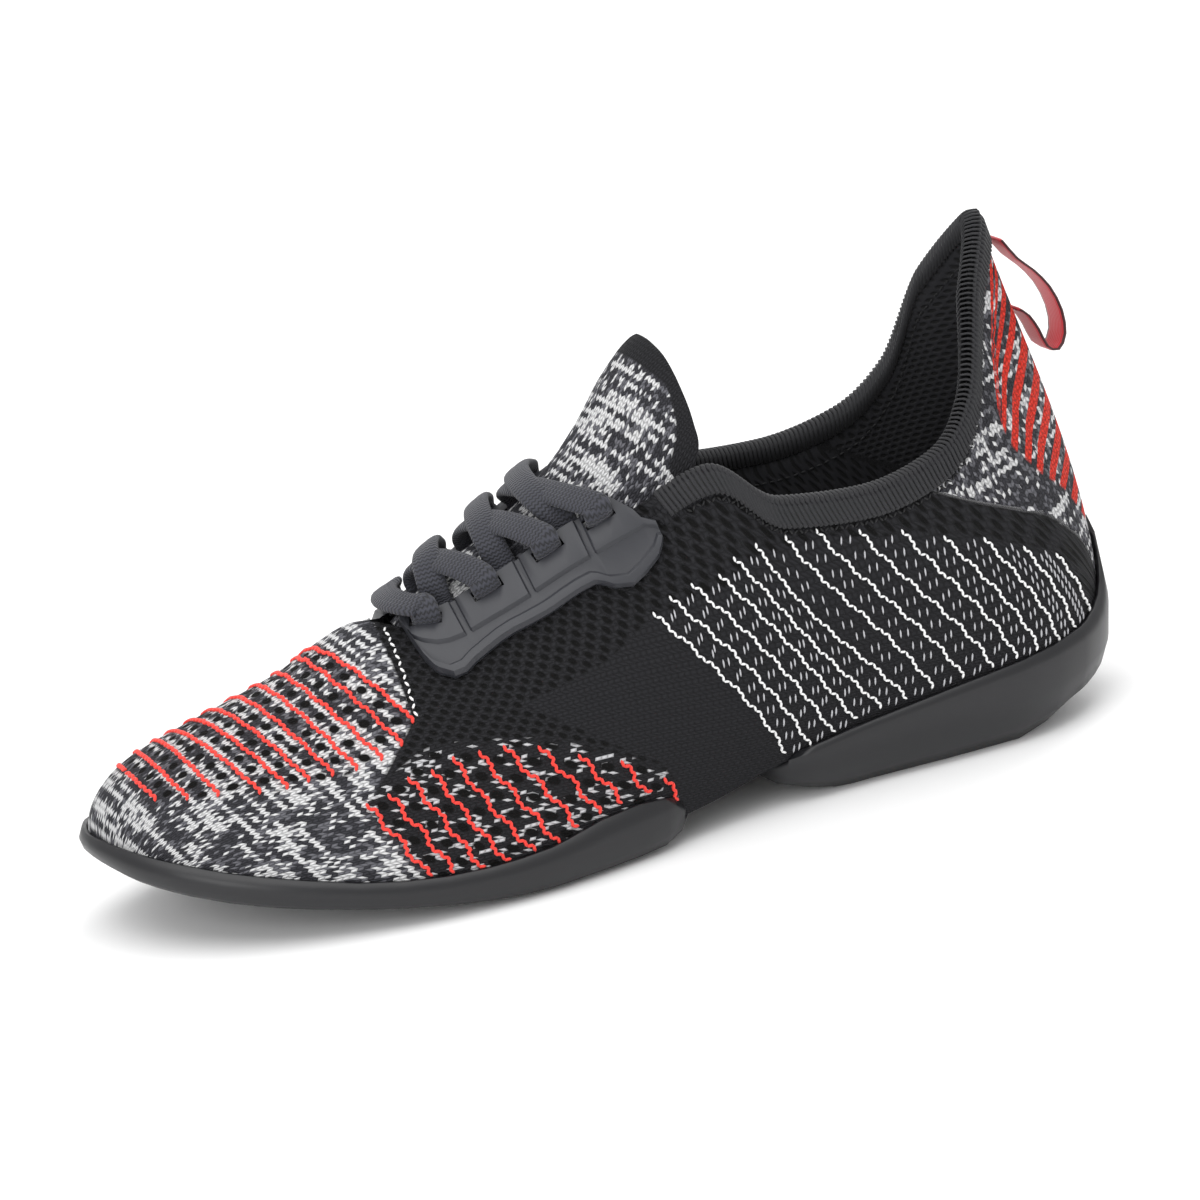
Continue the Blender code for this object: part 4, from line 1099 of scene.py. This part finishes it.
def lace_band(path, across, start_run=0.0):
    """One flat lace along a path, with the run along it kept for the braid."""
    path = np.array(spline_rows([np.array(p) for p in path], 5))
    across = np.array(spline_rows([np.array(a) for a in across], 5))
    along = np.gradient(path, axis=0)
    along /= np.linalg.norm(along, axis=1, keepdims=True)
    run = np.concatenate([[0], np.cumsum(np.linalg.norm(np.diff(path, axis=0), axis=1))]) + start_run
    rows, facts = [], []
    corners = 16
    for p, t, a, u in zip(path, along, across, run):
        a = a - t * (a @ t)
        a /= np.linalg.norm(a)
        n = np.cross(t, a)
        ring, fact = [], []
        for k in range(corners + 1):
            angle = 2 * math.pi * (k % corners + 0.5) / corners
            c, s = math.cos(angle), math.sin(angle)
            flat = math.copysign(abs(c) ** 0.62, c)
            ring.append(p + a * flat * LACE_WIDTH / 2 + n * s * LACE_THICKNESS / 2)
            fact.append((u * 1000, flat * LACE_WIDTH * 500, 0, 0))
        rows.append(ring)
        facts.append(fact)
    made, _, kept = grid_mesh("lace_band", rows, facts)
    set_values(made, run=kept[:, 0], across=kept[:, 1])
    work = bmesh.new()
    work.from_mesh(made.data)
    bmesh.ops.holes_fill(work, edges=[e for e in work.edges if e.is_boundary])
    bmesh.ops.recalc_face_normals(work, faces=work.faces)
    work.to_mesh(made.data)
    work.free()
    return made


def into_eyelet(side, number):
    """The last points of a lace that lies over a lug and dives into its slot."""
    station = EYELET_STATIONS[number]
    depth = -EYELET_OVERHANG
    return [
        over_edge(side, station, depth - 0.0022, LACE_LIFT * 0.98),
        over_edge(side, station, depth - 0.0004, LACE_LIFT * 0.86),
        over_edge(side, station, depth + 0.0003, LACE_LIFT * 0.45),
        over_edge(side, station, depth + 0.0002, -0.0006),
    ]


def joined(items, name):
    """One object from several."""
    bpy.ops.object.select_all(action="DESELECT")
    for item in items:
        item.select_set(True)
    bpy.context.view_layer.objects.active = items[0]
    bpy.ops.object.join()
    items[0].name = name
    return items[0]


def lace_run(low, high, middle, low_across, high_across, count=11):
    """A run over the tongue between two ends, with its directions across."""
    start, end = low[-1], high[0]
    path = arched_path(start, middle, end, count)
    turns = lace_turns(low_across, high_across, count)
    points = low[:-1] + path + high[1:]
    across = [low_across] * (len(low) - 1) + turns + [high_across] * (len(high) - 1)
    return points, across


def laced(cord):
    """The bar and the six crossing legs of one lace, in and out of the eyelets."""
    bands = []
    axes = {(side, n): eyelet_axes(side, n)[0] for side in (LATERAL, MEDIAL) for n in range(4)}
    middle = tongue_crown(EYELET_STATIONS[0] - BAR_SHIFT, BAR_LIFT * LACE_THICKNESS)
    points, across = lace_run(
        into_eyelet(LATERAL, 0)[::-1], into_eyelet(MEDIAL, 0), middle, axes[LATERAL, 0], axes[MEDIAL, 0])
    bands.append(lace_band(points, across))
    for k in range(3):
        for low_side, over in ((MEDIAL, False), (LATERAL, True)):
            station = EYELET_STATIONS[k] + LEG_SHIFT
            low = [
                over_edge(low_side, station, -LUG_OVERHANG + 0.0022, -0.0011),
                over_edge(low_side, station, -LUG_OVERHANG - 0.0006, -0.0009),
                under_lug_point(low_side, k),
            ]
            lift = LACE_THICKNESS * (CROSS_LIFTS[k] + (LEG_LIFT if over else 0))
            middle = tongue_crown((EYELET_STATIONS[k] + EYELET_STATIONS[k + 1]) / 2, lift)
            points, across = lace_run(
                low, into_eyelet(-low_side, k + 1), middle, axes[low_side, k], axes[-low_side, k + 1])
            bands.append(lace_band(points, across, 0.01 * k))
    laces = joined(bands, "laces")
    laces.data.materials.append(cord)
    return smooth_faces(laces, 60)


def stage_floor():
    """A plain pale floor that curves up into a wall far behind."""
    profile = [(-1.5, 0.0), (1.2, 0.0), (1.7, 0.1), (2.0, 0.45), (2.05, 1.0), (2.05, 3.0)]
    turn = Matrix.Rotation(math.radians(CAMERA_AZIMUTH), 4, "Z")
    points = [turn @ Vector((x, y, z)) for x in (-3.5, 3.5) for y, z in profile]
    n = len(profile)
    faces = [(i, n + i, n + i + 1, i + 1) for i in range(n - 1)]
    floor = new_object("floor", points, faces)
    floor.data.shade_smooth()
    floor.data.materials.append(plain_material("white studio paper", "fbfbfb", 0.9))


def softbox(name, place, target, size, power):
    """An area light that faces a target, its size in metres and its power in watts."""
    data = bpy.data.lights.new(name, "AREA")
    data.shape, data.size, data.size_y = "RECTANGLE", size[0], size[1]
    data.energy = power
    lamp = bpy.data.objects.new(name, data)
    bpy.context.scene.collection.objects.link(lamp)
    lamp.location = place
    lamp.rotation_euler = (Vector(target) - Vector(place)).to_track_quat("-Z", "Y").to_euler()


def light_and_camera():
    """Even studio light from all round, and the photograph's point of view."""
    world = bpy.data.worlds.new("studio")
    bpy.context.scene.world = world
    world.use_nodes = True
    back = world.node_tree.nodes["Background"]
    back.inputs["Color"].default_value = (1, 1, 1, 1)
    back.inputs["Strength"].default_value = 0.75
    softbox("top softbox", (-0.3, -0.3, 1.6), (0, 0, 0.04), (1.6, 1.6), 16)
    softbox("front softbox", (-1.3, -1.2, 0.8), (0, 0, 0.05), (1.0, 1.0), 9)
    softbox("back softbox", (1.1, 0.9, 1.0), (0, 0, 0.06), (0.8, 1.0), 9)
    azimuth, elevation = math.radians(CAMERA_AZIMUTH), math.radians(CAMERA_ELEVATION)
    away = Vector((
        math.sin(azimuth) * math.cos(elevation),
        -math.cos(azimuth) * math.cos(elevation),
        math.sin(elevation),
    ))
    right = Vector((math.cos(azimuth), math.sin(azimuth), 0))
    up = away.cross(right)
    turn = Matrix((right, up, away)).transposed().to_4x4()
    data = bpy.data.cameras.new("camera")
    data.sensor_width, data.lens = 36, CAMERA_LENS
    data.shift_x, data.shift_y = CAMERA_SHIFT
    camera = bpy.data.objects.new("camera", data)
    bpy.context.scene.collection.objects.link(camera)
    place = Vector(CAMERA_TARGET) + away * CAMERA_DISTANCE
    roll = Matrix.Rotation(math.radians(CAMERA_ROLL), 4, "Z")
    camera.matrix_world = Matrix.Translation(place) @ turn @ roll
    bpy.context.scene.camera = camera
    bpy.context.scene.view_settings.view_transform = "Standard"


def dress(name, material, angle, bevel=0.0):
    """A CAD node with smooth faces and its finish, its edges eased where a bevel is given."""
    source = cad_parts[name]
    item = bpy.data.objects.new(f"finished_{name}", source.data.copy())
    bpy.context.scene.collection.objects.link(item)
    item.data.transform(source.matrix_world)
    work = bmesh.new()
    work.from_mesh(item.data)
    bmesh.ops.remove_doubles(work, verts=work.verts, dist=0.000005)
    work.to_mesh(item.data)
    work.free()
    item.data.materials.clear()
    item.data.materials.append(material)
    smooth_faces(item, angle)
    if bevel:
        ease = item.modifiers.new("eased edges", "BEVEL")
        ease.width, ease.segments = bevel, 2
        ease.limit_method, ease.angle_limit = "ANGLE", math.radians(angle)
        ease.harden_normals = True
        apply_modifiers(item)
    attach(item, "root")
    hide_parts(name)
    return item


yarn = knitted_yarn("space-dyed and black knitted polyester")
lining = lining_mesh()
cord = braided_cord()
# Filament polyester yarn: a clean strong colour, matt with a soft sheen at the rim
red_yarn = plain_material("red polyester yarn", "f0382c", 0.75, 0.2)
white_yarn = plain_material("white polyester yarn", "f4f4f4", 0.75, 0.2)
grey_yarn = plain_material("light grey polyester yarn", "b9b9bd", 0.8, 0.2)
# Textured overlock yarn: dark and dull, because its crimped threads scatter the light
black_yarn = plain_material("black overlock yarn", "161618", 0.7, 0.05)
rib_yarn = plain_material("textured black edging yarn", "232326", 0.8, 0.05)
# Solid rubber from a smooth mould: near black, with one broad satin highlight
rubber = plain_material("moulded rubber", "18181b", 0.38, 0.0, 0.4, 0.03)
# TPU from an etched mould: dark grey and evenly matt
plastic = plain_material("matte moulded TPU", "303136", 0.46, 0.0, 0.3, 0.02)
# Jersey knit over foam: black and fully matt
cloth = plain_material("black insole jersey", "151517", 0.9, 0.1, 0.6, 0.1)

for item, replaced in (
    (knitted_shell(yarn, lining), ("upper",)),
    (knitted_tongue(yarn), ("tongue",)),
    (laced(cord), ("lace_bar", "lace_cross_1", "lace_cross_2", "lace_cross_3")),
):
    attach(item, "root")
    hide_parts(*replaced)

loops = stitch_tree()
random = np.random.RandomState(4)
sides = (LATERAL, MEDIAL)
red = [x for side in sides for row in VAMP_ROWS
       for x in row_loops(side, plane_run(side, row), RED_PITCH, 0.65, 0.012)]
red += [x for side in sides for row in SIDE_ROWS
        for x in row_loops(side, row_ends(row), RED_PITCH, 0.65, 0.035)]
white = [x for side in sides for row in WHITE_ROWS
         for x in row_loops(side, row_ends(row), WHITE_PITCH, 0.60, 0.02)]
white += [x for side in sides
          for x in row_loops(side, [(5.25, 0.93), (5.12, 0.56)], BORDER_PITCH, 0.5)]
grey = [x for side in sides for x in tuck_loops(side, random)]
seams = [x for side in sides for x in seam_loops(side, EDGING_HEIGHT + 0.0012, 0.0002, 0.0013, 0.9)]
seams += [x for side in sides for x in seam_loops(side, 0.0105, -PADDED_WALL - 0.0001, 0.0022, 0.1)]
for item in (
    set_loops("red_rows", loops, red, RED_LOOP, red_yarn),
    set_loops("white_rows", loops, white, WHITE_LOOP, white_yarn),
    set_loops("tuck_floats", loops, grey, TUCK_LOOP, grey_yarn),
    set_loops("collar_seams", loops, seams, SEAM_LOOP, black_yarn),
    edging_ribs(rib_yarn),
):
    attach(item, "root")

dress("forefoot_sole", rubber, 50)
dress("heel_sole", rubber, 50)
dress("insole", cloth, 50)
dress("eyestay_lateral", plastic, 30, 0.0002)
dress("eyestay_medial", plastic, 30, 0.0002)
dress("pull_loop", woven_ribbon(), 60)

stage_floor()
light_and_camera()
